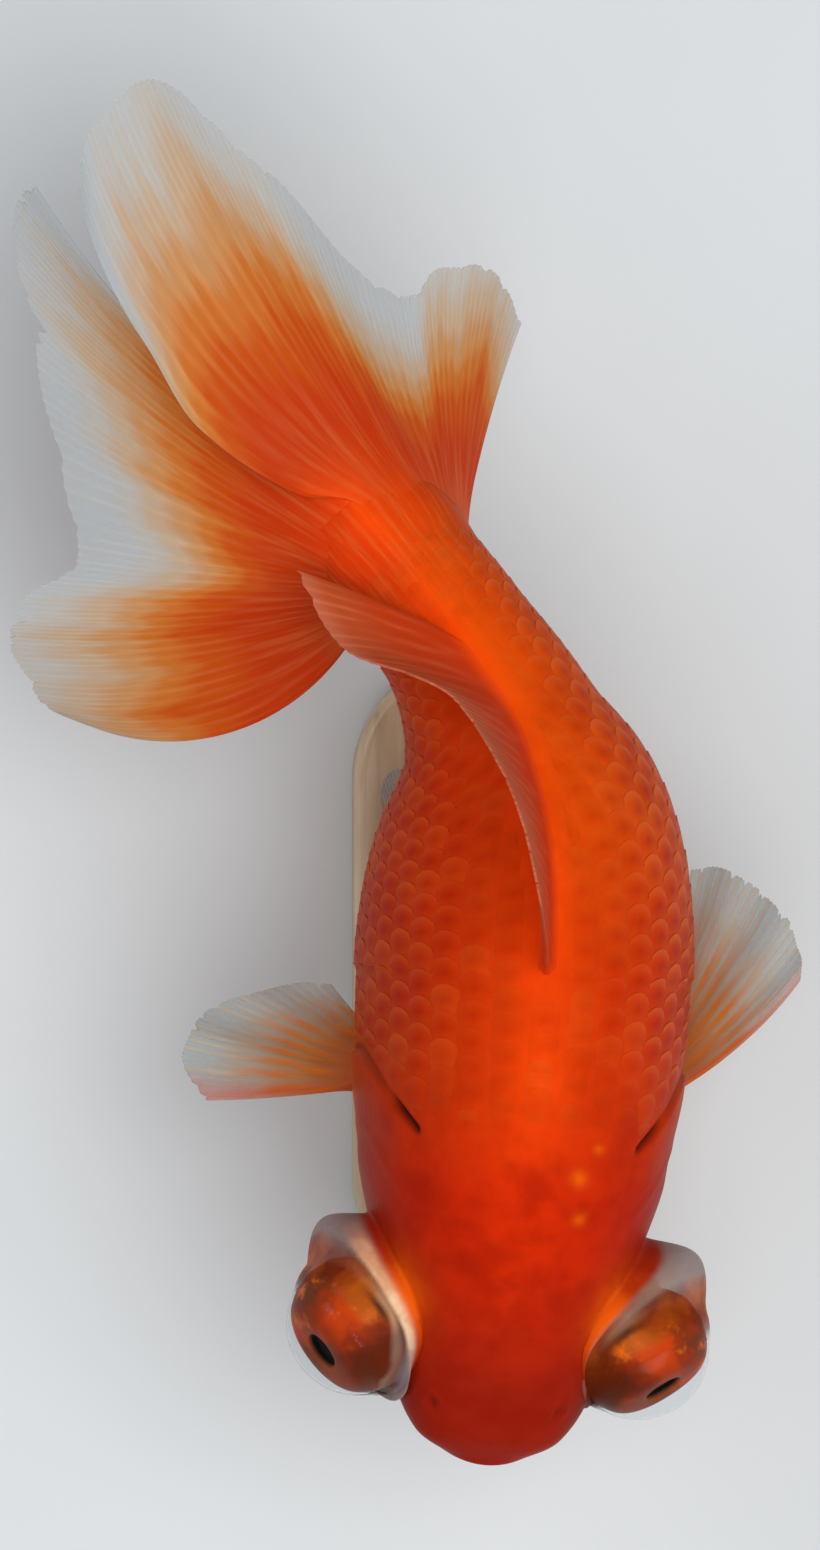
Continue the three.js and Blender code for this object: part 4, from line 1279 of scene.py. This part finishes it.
# %% [markdown]
# ## Fin finish
# At the root a fin is as thick and red as the body. Further out the colour runs along the rays in
# streaks of orange, and the skin between them clears until the margin is milky. One node group turns
# the fan's own coordinates, across and along the rays, into five masks: the rays, how far out the
# clearing is, how near the root is, the leading edge, and the pale strands that run out of the root.

# %% Fin group
tree, given, give = new_group(
    "Fin rays",
    {"Rays": "Float", "Streak": "Float", "Sharpness": "Float"},
    {"Ray": "Float", "Reach": "Float", "Root": "Float", "Lead": "Float", "Strand": "Float"},
)
fan_map = tree.add("UVMap", uv_map="FanMap").outputs["UV"]
parts = tree.add("SeparateXYZ", {"Vector": fan_map}).outputs
across, out = parts["X"], parts["Y"]
by_ray = tree.times(across, given["Rays"])


def comb(factor, sign):
    wave = tree.maths("COSINE", tree.times(by_ray, 2 * math.pi * factor))
    return tree.maths("MULTIPLY_ADD", wave, 0.5 * sign, 0.5)


def between_values(a, b, share):
    """a where share is 0 and b where it is 1, as a value."""
    return tree.add("Mix", {0: share, 2: a, 3: b}, data_type="FLOAT").outputs[0]


def along_rays(across_scale, out_scale, detail):
    """Noise drawn out along the rays."""
    place = tree.add("CombineXYZ", {
        "X": tree.times(by_ray, across_scale), "Y": tree.times(out, out_scale), "Z": 0.0,
    }).outputs["Vector"]
    return tree.spots(1.0, detail, vector=place, roughness=0.6)


ray = between_values(comb(1, 1), comb(2, -1), tree.between(out, 0.22, 0.45))
ray = between_values(ray, comb(4, -1), tree.between(out, 0.55, 0.8))
ray = tree.maths("POWER", ray, given["Sharpness"])
ray = tree.times(ray, tree.between(along_rays(3.1, 2.0, 2.0), 0.3, 0.62))
give("Ray", tree.times(ray, tree.between(out, 0.05, 0.32)))
streak = tree.times(tree.maths("SUBTRACT", along_rays(1.5, 1.8, 4.0), 0.5), given["Streak"])
broad = tree.times(tree.maths("SUBTRACT", along_rays(0.32, 1.0, 2.0), 0.5), given["Streak"])
offset = tree.times(tree.plus(streak, broad), tree.between(out, 0.0, 0.4))
give("Reach", tree.plus(tree.attribute("reach"), offset))
give("Root", tree.between(out, 0.2, 0.0))
give("Lead", tree.between(across, 0.14, 0.02))
strand = tree.times(tree.between(along_rays(2.2, 2.5, 3.0), 0.46, 0.66), tree.between(out, 0.42, 0.12))
give("Strand", tree.times(strand, tree.between(out, 0.0, 0.16)))


# %% Fin materials
def fin_finish(name, rays, streak, sharpness, ray_colours, shares, colours, clearing):
    """A fin's material: colours and opacity by how far out the clearing is, with rays and a fleshy root."""
    material, tree, give = new_material(
        name, Roughness=0.5, Specular_IOR_Level=0.08, Specular_Tint=(1.0, 0.6, 0.4, 1),
    )
    masks = tree.group("Fin rays", {"Rays": float(rays), "Streak": streak, "Sharpness": sharpness})
    ray_share, ray_body, lead_share, strand_share = shares
    colour = tree.ramp(masks["Reach"], *colours)
    ray_colour = tree.blend(*ray_colours, tree.between(masks["Reach"], 0.5, 0.85))
    colour = tree.blend(colour, ray_colour, tree.times(masks["Ray"], ray_share))
    colour = tree.blend(colour, srgb(196, 78, 22), tree.times(masks["Lead"], lead_share))
    colour = tree.blend(colour, tree.flesh()["Colour"], masks["Root"])
    colour = tree.blend(colour, srgb(212, 122, 66), tree.times(masks["Strand"], strand_share))
    give("Base Color", colour)
    alpha = tree.levels(masks["Reach"], *clearing)
    alpha = tree.maths("ADD", alpha, tree.times(masks["Ray"], ray_body), clamp=True)
    alpha = tree.maths("MAXIMUM", alpha, masks["Root"])
    give("Alpha", alpha)
    give("Normal", tree.emboss(0.08, 0.0002, masks["Ray"]))
    return material


TAIL_COLOURS = (
    (0.0, 186, 46, 8), (0.25, 184, 52, 9), (0.4, 188, 74, 16), (0.51, 196, 108, 42),
    (0.61, 198, 140, 88), (0.73, 198, 168, 138), (0.88, 194, 188, 180), (1.0, 190, 194, 196),
)
TAIL_CLEARING = ((0.0, 1.0), (0.4, 0.98), (0.55, 0.9), (0.7, 0.76), (0.84, 0.6), (1.0, 0.48))
tail_finish = fin_finish(
    "tail fin", 20, 0.32, 2.5, (srgb(222, 160, 110), srgb(224, 190, 156)), (0.12, 0.16, 0.0, 0.26),
    TAIL_COLOURS, TAIL_CLEARING,
)
DORSAL_COLOURS = (
    (0.0, 198, 50, 8), (0.3, 190, 56, 14), (0.5, 186, 76, 38), (0.62, 198, 108, 80),
    (0.76, 210, 146, 124),
)
DORSAL_CLEARING = ((0.0, 1.0), (0.3, 0.96), (0.5, 0.86), (0.8, 0.7))
dorsal_finish = fin_finish(
    "dorsal fin", 12, 0.08, 2.5, (srgb(222, 140, 100), srgb(226, 170, 146)), (0.14, 0.16, 0.0, 0.0),
    DORSAL_COLOURS, DORSAL_CLEARING,
)
SIDE_COLOURS = (
    (0.0, 180, 74, 22), (0.2, 176, 96, 42), (0.42, 172, 124, 78), (0.65, 168, 152, 130),
    (0.9, 162, 170, 172),
)
SIDE_CLEARING = ((0.0, 0.96), (0.2, 0.78), (0.45, 0.64), (0.7, 0.52), (0.95, 0.42))
side_finish = fin_finish(
    "paired fins", 5, 0.16, 1.2, (srgb(200, 104, 24), srgb(190, 176, 154)), (1.0, 0.3, 0.7, 0.0),
    SIDE_COLOURS, SIDE_CLEARING,
)

# %% [markdown]
# ## The fins of this fish
# The sail of the dorsal fin leans over to the fish's right. The tail is a pair of fins, each forked
# into two lobes, swung round with the tail stock. The pectoral fins row out to the sides, and the
# small pelvic and anal fins hang under the body. Each ray is (share of the fan, length, heading,
# curl, rise, sag), and `colour` says how far out along the rays the orange lasts.

# %% Fin tables
EVEN = ((0, 0.6), (1, 0.6))
DORSAL = {
    "root": FIN_ROOTS["dorsal"],
    "rays": (
        (0, 19.5, 17, 0, 72, 10), (0.25, 18, 30, 6, 75, 14), (0.5, 14.5, 41, 12, 69, 22),
        (0.7, 12, 54, 14, 61, 30), (0.85, 16, 66, 20, 28, 28), (1, 19, 63, 8, 8, 16),
    ),
    "ripple": (0.3, 3, 0), "mesh": (240, 44), "count": 14, "wear": 0.02,
    "colour": ((0, 1.05), (0.6, 1.05), (1, 1)),
}
CAUDAL_LEFT = {
    "root": FIN_ROOTS["tail_left"],
    "rays": (
        (0, 43.5, 73, -62, 18, 32), (0.12, 47.5, 55, -36, 14, 22), (0.25, 48.5, 39, -16, 12, 16),
        (0.4, 39, 32, -10, 10, 16), (0.55, 26, 25, -10, 6, 18), (0.64, 22, 15, -8, 2, 18),
        (0.76, 25.5, 6, -8, -2, 16), (0.88, 27.5, -3, -10, -6, 14), (1, 24.5, -11, -12, -12, 12),
    ),
    "ripple": (0.8, 2.5, 0.1), "mesh": (560, 56), "count": 20, "wear": 0.018, "lap": 5, "widen": 1.6,
    "colour": (
        (0, 0.4), (0.05, 0.56), (0.12, 0.62), (0.25, 0.62), (0.4, 0.62), (0.5, 0.54), (0.64, 0.52),
        (0.76, 0.68), (0.88, 0.72), (1, 0.66),
    ),
}
CAUDAL_RIGHT = {
    "root": FIN_ROOTS["tail_right"],
    "rays": (
        (0, 46, 60, -30, -4, 12), (0.1, 47, 58, -24, -6, 12), (0.25, 41, 60, -16, -8, 12),
        (0.4, 33, 70, -12, -8, 16), (0.5, 27, 87, -8, -8, 18), (0.62, 33, 97, -12, -9, 18),
        (0.75, 35.5, 108, -24, -10, 18), (0.88, 35, 129, -50, -10, 18), (1, 35, 154, -92, -10, 18),
    ),
    "ripple": (1, 2.5, 0.45), "mesh": (560, 56), "count": 20, "wear": 0.018, "lap": 5, "widen": 0.0,
    "colour": (
        (0, 0.5), (0.1, 0.6), (0.25, 0.58), (0.4, 0.54), (0.5, 0.48), (0.62, 0.6), (0.75, 0.66),
        (0.88, 0.72), (1, 0.8),
    ),
}
PECTORAL_LEFT = {
    "root": FIN_ROOTS["pectoral_left"],
    "rays": (
        (0, 20, -64, 26, -8, 8), (0.25, 21.5, -54, 16, -8, 8), (0.5, 22.5, -43, 12, -10, 8),
        (0.75, 22.5, -32, 10, -14, 8), (1, 20.5, -21, 8, -18, 8),
    ),
    "ripple": (0.5, 3, 0), "mesh": (200, 40), "count": 11, "wear": 0.02, "colour": EVEN,
}
PECTORAL_RIGHT = {
    "root": FIN_ROOTS["pectoral_right"],
    "rays": (
        (0, 16.5, 99, -8, -6, 6), (0.2, 19, 86, -8, -8, 6), (0.45, 18, 77, -8, -10, 8),
        (0.7, 13.5, 65, -8, -14, 8), (1, 8, 41, -4, -24, 8),
    ),
    "ripple": (0.5, 3, 0.3), "mesh": (200, 40), "count": 11, "wear": 0.02, "colour": EVEN,
}


def pelvic_fin(name, side):
    """A small fan held back under the belly."""
    return {
        "root": FIN_ROOTS[f"pelvic_{name}"],
        "rays": (
            (0, 14.6, side * -23, side * 8, -23, 8), (0.12, 18.2, side * -22, side * 7, -24, 8),
            (0.35, 19.4, side * -20, side * 6, -25, 8), (0.7, 17, side * -12, side * 2, -29, 8),
            (0.9, 13, side * -7, 0, -32, 8), (1, 8.4, side * -5, 0, -33, 8),
        ),
        "ripple": (0.4, 2, 0), "mesh": (150, 34), "count": 9, "wear": 0.02, "colour": EVEN,
    }


def anal_fin(name, side):
    """One of the two short fans that hang from the tail stock."""
    return {
        "root": FIN_ROOTS[f"anal_{name}"],
        "rays": (
            (0, 9.6, 26 - side * 16, 0, -52, 6), (0.14, 12.4, 28 - side * 16, 0, -50, 6),
            (0.4, 13.5, 30 - side * 16, 0, -44, 6), (0.84, 11.6, 34 - side * 12, 0, -35, 6),
            (1, 8, 36 - side * 10, 0, -32, 6),
        ),
        "ripple": (0.3, 2, 0), "mesh": (120, 30), "count": 8, "wear": 0.02, "colour": EVEN,
    }


# %% Make the fins
FIN_SEED = 21
fin_rng = np.random.default_rng(FIN_SEED)
fin_piece("dorsal", DORSAL, dorsal_finish, fin_rng, "dorsal_fin")
for name, side in SIDES.items():
    tail, pectoral = (CAUDAL_LEFT, PECTORAL_LEFT) if side > 0 else (CAUDAL_RIGHT, PECTORAL_RIGHT)
    lobes = (f"caudal_fin_{name}_upper", f"caudal_fin_{name}_lower")
    fin_piece(f"tail_{name}", tail, tail_finish, fin_rng, *lobes)
    fin_piece(f"pectoral_{name}", pectoral, side_finish, fin_rng, f"pectoral_fin_{name}")
    fin_piece(f"pelvic_{name}", pelvic_fin(name, side), side_finish, fin_rng, f"pelvic_fin_{name}")
    fin_piece(f"anal_{name}", anal_fin(name, side), side_finish, fin_rng, f"anal_fin_{name}")

# %% [markdown]
# ## Telescope eyes
# Inside the clear balloon sits a deep ball, brown and gold over its front half, with a dark ring
# round its middle and pale tissue behind. Its flat front is the iris, with a round black pupil, and
# over it stands the clear dome of the cornea. A cushion of pale tissue fills the balloon between the
# ball and the cheek. Every part of the ball is turned about the eye's axis, like work on a lathe.

# %% Turned parts of the eye
def turned(profile, side, columns):
    """Points of a profile (radius, height along the axis) carried once round the eye's axis."""
    centre, axis, rear, upward, _ = eye_frame(side)
    turn = full_turn(columns)
    spoke = rear * np.cos(turn)[:, None] + upward * np.sin(turn)[:, None]
    radius, height = np.array(profile, float).T
    return centre + spoke[None] * radius[:, None, None] + axis * height[:, None, None]


# %% Closed turned parts
def closed_tube(rings, ends):
    """Faces of a closed tube of rings, shut at both ends by a fan to one point each, with its points."""
    rows, columns = rings.shape[:2]
    points = np.vstack([rings.reshape(-1, 3), ends])
    blocks = tube_faces(len(points), rows, columns)
    a, b, d = (points[blocks[0][:, k]] - points.mean(axis=0) for k in (0, 1, 3))
    if np.einsum("ij,ij->i", a, np.cross(b - a, d - a)).sum() < 0:
        blocks = [block[:, ::-1] for block in blocks]
    return points, blocks


def lathe_piece(name, profile, side, material, columns=96):
    """A closed turned part: the profile's two ends lie on the axis."""
    centre, axis, *_ = eye_frame(side)
    ends = np.array([centre + axis * profile[0][1], centre + axis * profile[-1][1]])
    points, blocks = closed_tube(turned(profile[1:-1], side, columns), ends)
    rings = np.array(profile, float)[1:-1]
    turn = full_turn(columns)

    def whole_round(per_ring, first, last):
        return np.concatenate([np.repeat(per_ring, columns), [first, last]])

    from_rear = np.degrees(np.arccos(np.cos(turn)))
    lift = mix(2.1, 1.0, float(side > 0)) * smoothstep(from_rear, 70, 120)
    lift = lift + 1.2 * smoothstep(from_rear, 116, 140)
    lift = lift * smoothstep(np.sin(turn), -0.35, 0.3)
    waist = rings[:, 1:] - lift + 0.3
    return new_piece(name, points, blocks, material, {
        "height": whole_round(rings[:, 1], profile[0][1], profile[-1][1]),
        "waist": np.concatenate([waist.ravel(), [profile[0][1], profile[-1][1]]]),
        "radius": whole_round(rings[:, 0], 0, 0),
        "rearward": np.concatenate([np.tile(np.cos(turn), len(rings)), [0, 0]]),
        "pale": np.full(len(points), 1.0 if side < 0 else 0.3),
    })


def smooth_profile(corners, count=40):
    """A profile through corner points, with even steps along a monotone curve of its own length."""
    corners = np.array(corners, float)
    travelled = np.concatenate([[0], np.cumsum(np.linalg.norm(np.diff(corners, axis=0), axis=1))])
    at = np.linspace(0, travelled[-1], count)
    columns = [curve_through(*zip(travelled.tolist(), corners[:, k].tolist()))(at) for k in (0, 1)]
    return list(zip(*[c.tolist() for c in columns]))


# %% Eye materials
cup_finish, tree, give = new_material("eye ball", Roughness=0.42, Specular_IOR_Level=0.04)
height = tree.attribute("height")
radius = tree.attribute("radius")
mottle = tree.spots(260, 4, roughness=0.62)
fine = tree.spots(900, 3, roughness=0.6)
shift = tree.times(tree.maths("SUBTRACT", mottle, 0.5), 0.5)
round_share = tree.maths("MULTIPLY_ADD", tree.attribute("rearward"), 0.5, 0.5)
zone = tree.plus(round_share, shift)
base = tree.ramp(
    zone,
    (0.0, 112, 50, 24), (0.2, 96, 36, 14), (0.42, 94, 31, 9), (0.58, 136, 42, 10),
    (0.72, 192, 60, 9), (0.86, 196, 60, 10), (0.94, 150, 50, 14), (1.0, 116, 50, 22),
)
gold = tree.times(tree.between(zone, 0.54, 0.68), tree.between(zone, 0.92, 0.8))
gold = tree.times(gold, tree.between(height, 2.8, 1.2))
base = tree.blend(base, srgb(190, 100, 32), tree.times(gold, 0.75))
fleck = tree.between(tree.plus(mottle, tree.times(fine, 0.4)), 0.74, 0.9)
fleck = tree.times(fleck, tree.between(round_share, 0.4, 0.6))
base = tree.blend(base, srgb(232, 104, 20), tree.times(fleck, tree.between(height, 0.0, 1.0)))
iris = tree.ramp(mottle, (0.36, 112, 38, 12), (0.5, 156, 48, 10), (0.66, 188, 70, 16))
base = tree.blend(base, iris, tree.times(tree.between(height, 4.1, 4.85), 0.45))
rim = tree.times(tree.between(radius, 2.7, 2.2), tree.between(height, 4.0, 4.6))
base = tree.blend(base, srgb(150, 86, 42), tree.times(rim, 0.4))
base = tree.blend(base, srgb(4, 3, 3), tree.between(radius, 2.02, 1.86))
waist = tree.plus(tree.attribute("waist"), tree.times(shift, 1.6))
ring = tree.times(tree.between(waist, 0.9, 0.15), tree.between(round_share, 0.42, 0.7))
base = tree.blend(base, srgb(84, 46, 28), ring)
pale_share = tree.times(tree.between(round_share, 0.42, 0.62), tree.attribute("pale"))
back = tree.blend(srgb(132, 98, 84), srgb(220, 170, 128), pale_share)
base = tree.blend(base, back, tree.between(waist, 0.1, -0.9))
give("Base Color", base)
give("Normal", tree.emboss(0.2, 0.0002, mottle))

cushion_finish, tree, give = new_material(
    "eye cushion", Roughness=0.5, Specular_IOR_Level=0.3, Subsurface_Weight=0.3, Subsurface_Scale=0.002,
)
lumps = tree.spots(260, 3)
warm = tree.ramp(lumps, (0.3, 198, 136, 110), (0.5, 222, 170, 132), (0.68, 250, 214, 168))
cool = tree.ramp(lumps, (0.3, 138, 112, 112), (0.5, 158, 128, 122), (0.7, 184, 150, 136))
give("Base Color", tree.blend(cool, warm, tree.attribute("warm")))

cornea_finish, _, _ = new_material(
    "cornea", Roughness=0.0, IOR=1.01, Transmission_Weight=1.0, Base_Color=(0.94, 0.96, 0.97, 1),
    Coat_Weight=0.08, Coat_Roughness=0.05,
)

# %% Make the eyes
BALL = smooth_profile((
    (0, 4.15), (1.6, 4.2), (1.88, 4.45), (1.98, 4.86), (2.3, 4.98), (3.2, 4.98), (4.2, 4.86), (5.0, 4.5),
    (5.8, 3.7), (6.6, 2.1), (6.95, 0.4), (6.85, -1.2), (6.2, -2.6), (4.8, -4.2), (3.0, -5.6), (0.0, -6.2),
), 80)
cornea_turns = np.radians(np.linspace(0, RIM_TURN + 6, 28))
outer = [(EYE["radius"] * math.sin(t) * 0.998, EYE["radius"] * math.cos(t) * 0.998) for t in cornea_turns]
inner = [(0.975 * r, 0.975 * h) for r, h in outer[::-1]]
for name, side in SIDES.items():
    ball = lathe_piece(f"eye_cup_{name}", BALL, side, cup_finish)
    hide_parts(f"eye_{name}")
    cornea = lathe_piece(f"cornea_{name}", outer + inner, side, cornea_finish)
    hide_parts(f"eye_cornea_{name}")


# %% The cushion behind each ball
def cushion(name, side):
    """A soft plug from inside the cheek to the back of the ball: ellipse rings along a Bezier curve,
    lumped by sines, well inside the balloon. A flange sunk in the cheek closes the socket's floor."""
    centre, axis, rear, upward, out = eye_frame(side)
    columns, rows = 64, 40
    turn = full_turn(columns)
    t = np.linspace(0, 1, rows)[:, None]
    root = cheek_point(side, *socket_oval(turn, along=-2.2, tall=-2.0, shift=-1.1), -0.6)
    spoke = rear * np.cos(turn)[:, None] + upward * np.sin(turn)[:, None]
    top = centre - axis * 2.2 + spoke * 5.4
    bulge = centre - axis * 4.6 + spoke * 5.6
    share = t * np.ones(columns)
    points = bezier(root[None] - out * 0.8, root[None] + out * 2.0, bulge[None], top[None], share)
    lump = 0.25 * np.sin(5 * turn + 7 * t + side) * np.sin(9 * t * np.pi)
    middle = mix((root - out * 0.8).mean(axis=0), centre - axis * 2.2, t[..., None])
    points = points + unit(points - middle) * (lump * np.sin(np.pi * t))[..., None]
    flange = cheek_point(side, *socket_oval(turn, along=0.6, tall=0.6), -1.5)
    ends = np.array([flange.mean(axis=0), centre - axis * 2.2])
    cloud, blocks = closed_tube(np.concatenate([flange[None], points]), ends)
    warm = np.full(len(cloud), 1.0 if side < 0 else 0.35)
    warm[:columns] = 0
    piece = new_piece(name, cloud, blocks, cushion_finish, {"warm": warm})


for name, side in SIDES.items():
    cushion(f"eye_cushion_{name}", side)

# %% [markdown]
# ## The display stand
# A small pale maple base with a rounded edge and a bright steel rod that enters the belly. The base
# is a profile of its edge carried round a stadium, and the rod is turned with a low collar at its
# foot.

# %% Stand materials
wood_finish, tree, give = new_material("maple wood", Roughness=0.42, Coat_Weight=0.35, Coat_Roughness=0.18)
place = tree.add("TexCoord").outputs["Object"]
lengthwise = tree.add("Mapping", {"Vector": place, "Scale": (9.0, 0.8, 9.0)}).outputs["Vector"]
fibres = {"Vector": lengthwise, "Scale": 60.0, "Detail": 6.0, "Roughness": 0.6, "Distortion": 0.4}
grain = tree.add("TexNoise", fibres).outputs["Fac"]
year_rings = {"Vector": lengthwise, "Scale": 9.0, "Distortion": 9.0, "Detail": 3.0}
rings = tree.add("TexWave", year_rings, bands_direction="X").outputs["Fac"]
figure = tree.plus(tree.times(grain, 0.8), tree.times(rings, 0.2))
give("Base Color", tree.ramp(figure, (0.25, 176, 146, 110), (0.5, 200, 172, 136), (0.75, 218, 194, 160)))
give("Roughness", tree.levels(figure, (0.2, 0.5), (0.8, 0.34)))
give("Normal", tree.emboss(0.1, 0.0002, figure))

steel_finish, tree, give = new_material("brushed steel", Metallic=1.0, Roughness=0.28)
place = tree.add("TexCoord").outputs["Object"]
round_lines = tree.add("Mapping", {"Vector": place, "Scale": (1.0, 1.0, 20.0)}).outputs["Vector"]
brushed = tree.add("TexNoise", {"Vector": round_lines, "Scale": 60.0, "Detail": 3.0}).outputs["Fac"]
give("Base Color", tree.ramp(brushed, (0.3, 188, 190, 194), (0.7, 204, 206, 210)))
give("Roughness", tree.levels(brushed, (0.3, 0.27), (0.7, 0.32)))

# %% Stand pieces
base_low, base_high = (np.array(corner) * 1000 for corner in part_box("stand_base"))
rod_low, rod_high = (np.array(corner) * 1000 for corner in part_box("stand_rod"))


EDGE_ROUND = 1.4
BASE_COLUMNS = 96
ROD_COLUMNS = 48


def stand_base():
    """The edge's profile (inset, level) carried round a stadium, closed by a point over and under."""
    half_width = (base_high[0] - base_low[0]) / 2
    half_length = (base_high[1] - base_low[1]) / 2
    height = base_high[2]
    turn = np.linspace(0, np.pi / 2, 9)
    profile = [(half_width - 0.01, 0.0), (0.8, 0.0), (0.25, 0.2), (0.0, 0.8)]
    profile += [(EDGE_ROUND * (1 - math.cos(t)), height - EDGE_ROUND * (1 - math.sin(t))) for t in turn]
    profile += [(half_width - 0.01, height)]
    inset, level = np.array(profile).T
    around = full_turn(BASE_COLUMNS)
    reach = (half_width - inset)[:, None]
    shift = np.where(np.sin(around) >= 0, 1, -1) * (half_length - half_width)
    x = reach * np.cos(around)
    y = reach * np.sin(around) + shift
    return capped_rings(np.stack([x, y, np.broadcast_to(level[:, None], x.shape)], -1))


points, blocks = stand_base()
stand_base_piece = new_piece("stand_plinth", points, blocks, wood_finish, sharp=50)
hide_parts("stand_base")

rod_centre = (rod_low + rod_high) / 2
rod_radius = (rod_high[0] - rod_low[0]) / 2
around = full_turn(ROD_COLUMNS)
rod_profile = (
    (3.4, 5.0), (3.4, 5.9), (3.1, 6.3), (2.5, 6.45), (rod_radius, 6.6), (rod_radius, rod_high[2] - 0.2),
)
radius, level = np.array(rod_profile).T
x = rod_centre[0] + radius[:, None] * np.cos(around)
y = rod_centre[1] + radius[:, None] * np.sin(around)
points, blocks = capped_rings(np.stack([x, y, np.broadcast_to(level[:, None], x.shape)], -1))
stand_rod_piece = new_piece("stand_post", points, blocks, steel_finish, sharp=35)
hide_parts("stand_rod")

# %% [markdown]
# ## Floor
# A pale matt floor, far larger than the stand, catches the soft shadow.

# %% Floor
floor_finish, tree, give = new_material("pale floor", Roughness=0.85)
tone = tree.spots(6, 4)
give("Base Color", tree.ramp(tone, (0.3, 208, 212, 214), (0.7, 216, 220, 222)))
FLOOR_HALF = 1500
FLOOR_DROP = 0.05
square = np.array([[-1, -1, 0], [1, -1, 0], [1, 1, 0], [-1, 1, 0]], float)
corners = square * FLOOR_HALF - [0, 0, FLOOR_DROP]
floor_mesh = bpy.data.meshes.new("floor")
floor_mesh.from_pydata((corners * MM).tolist(), [], [(0, 1, 2, 3)])
floor = bpy.data.objects.new("floor", floor_mesh)
bpy.context.collection.objects.link(floor)
floor.data.materials.append(floor_finish)
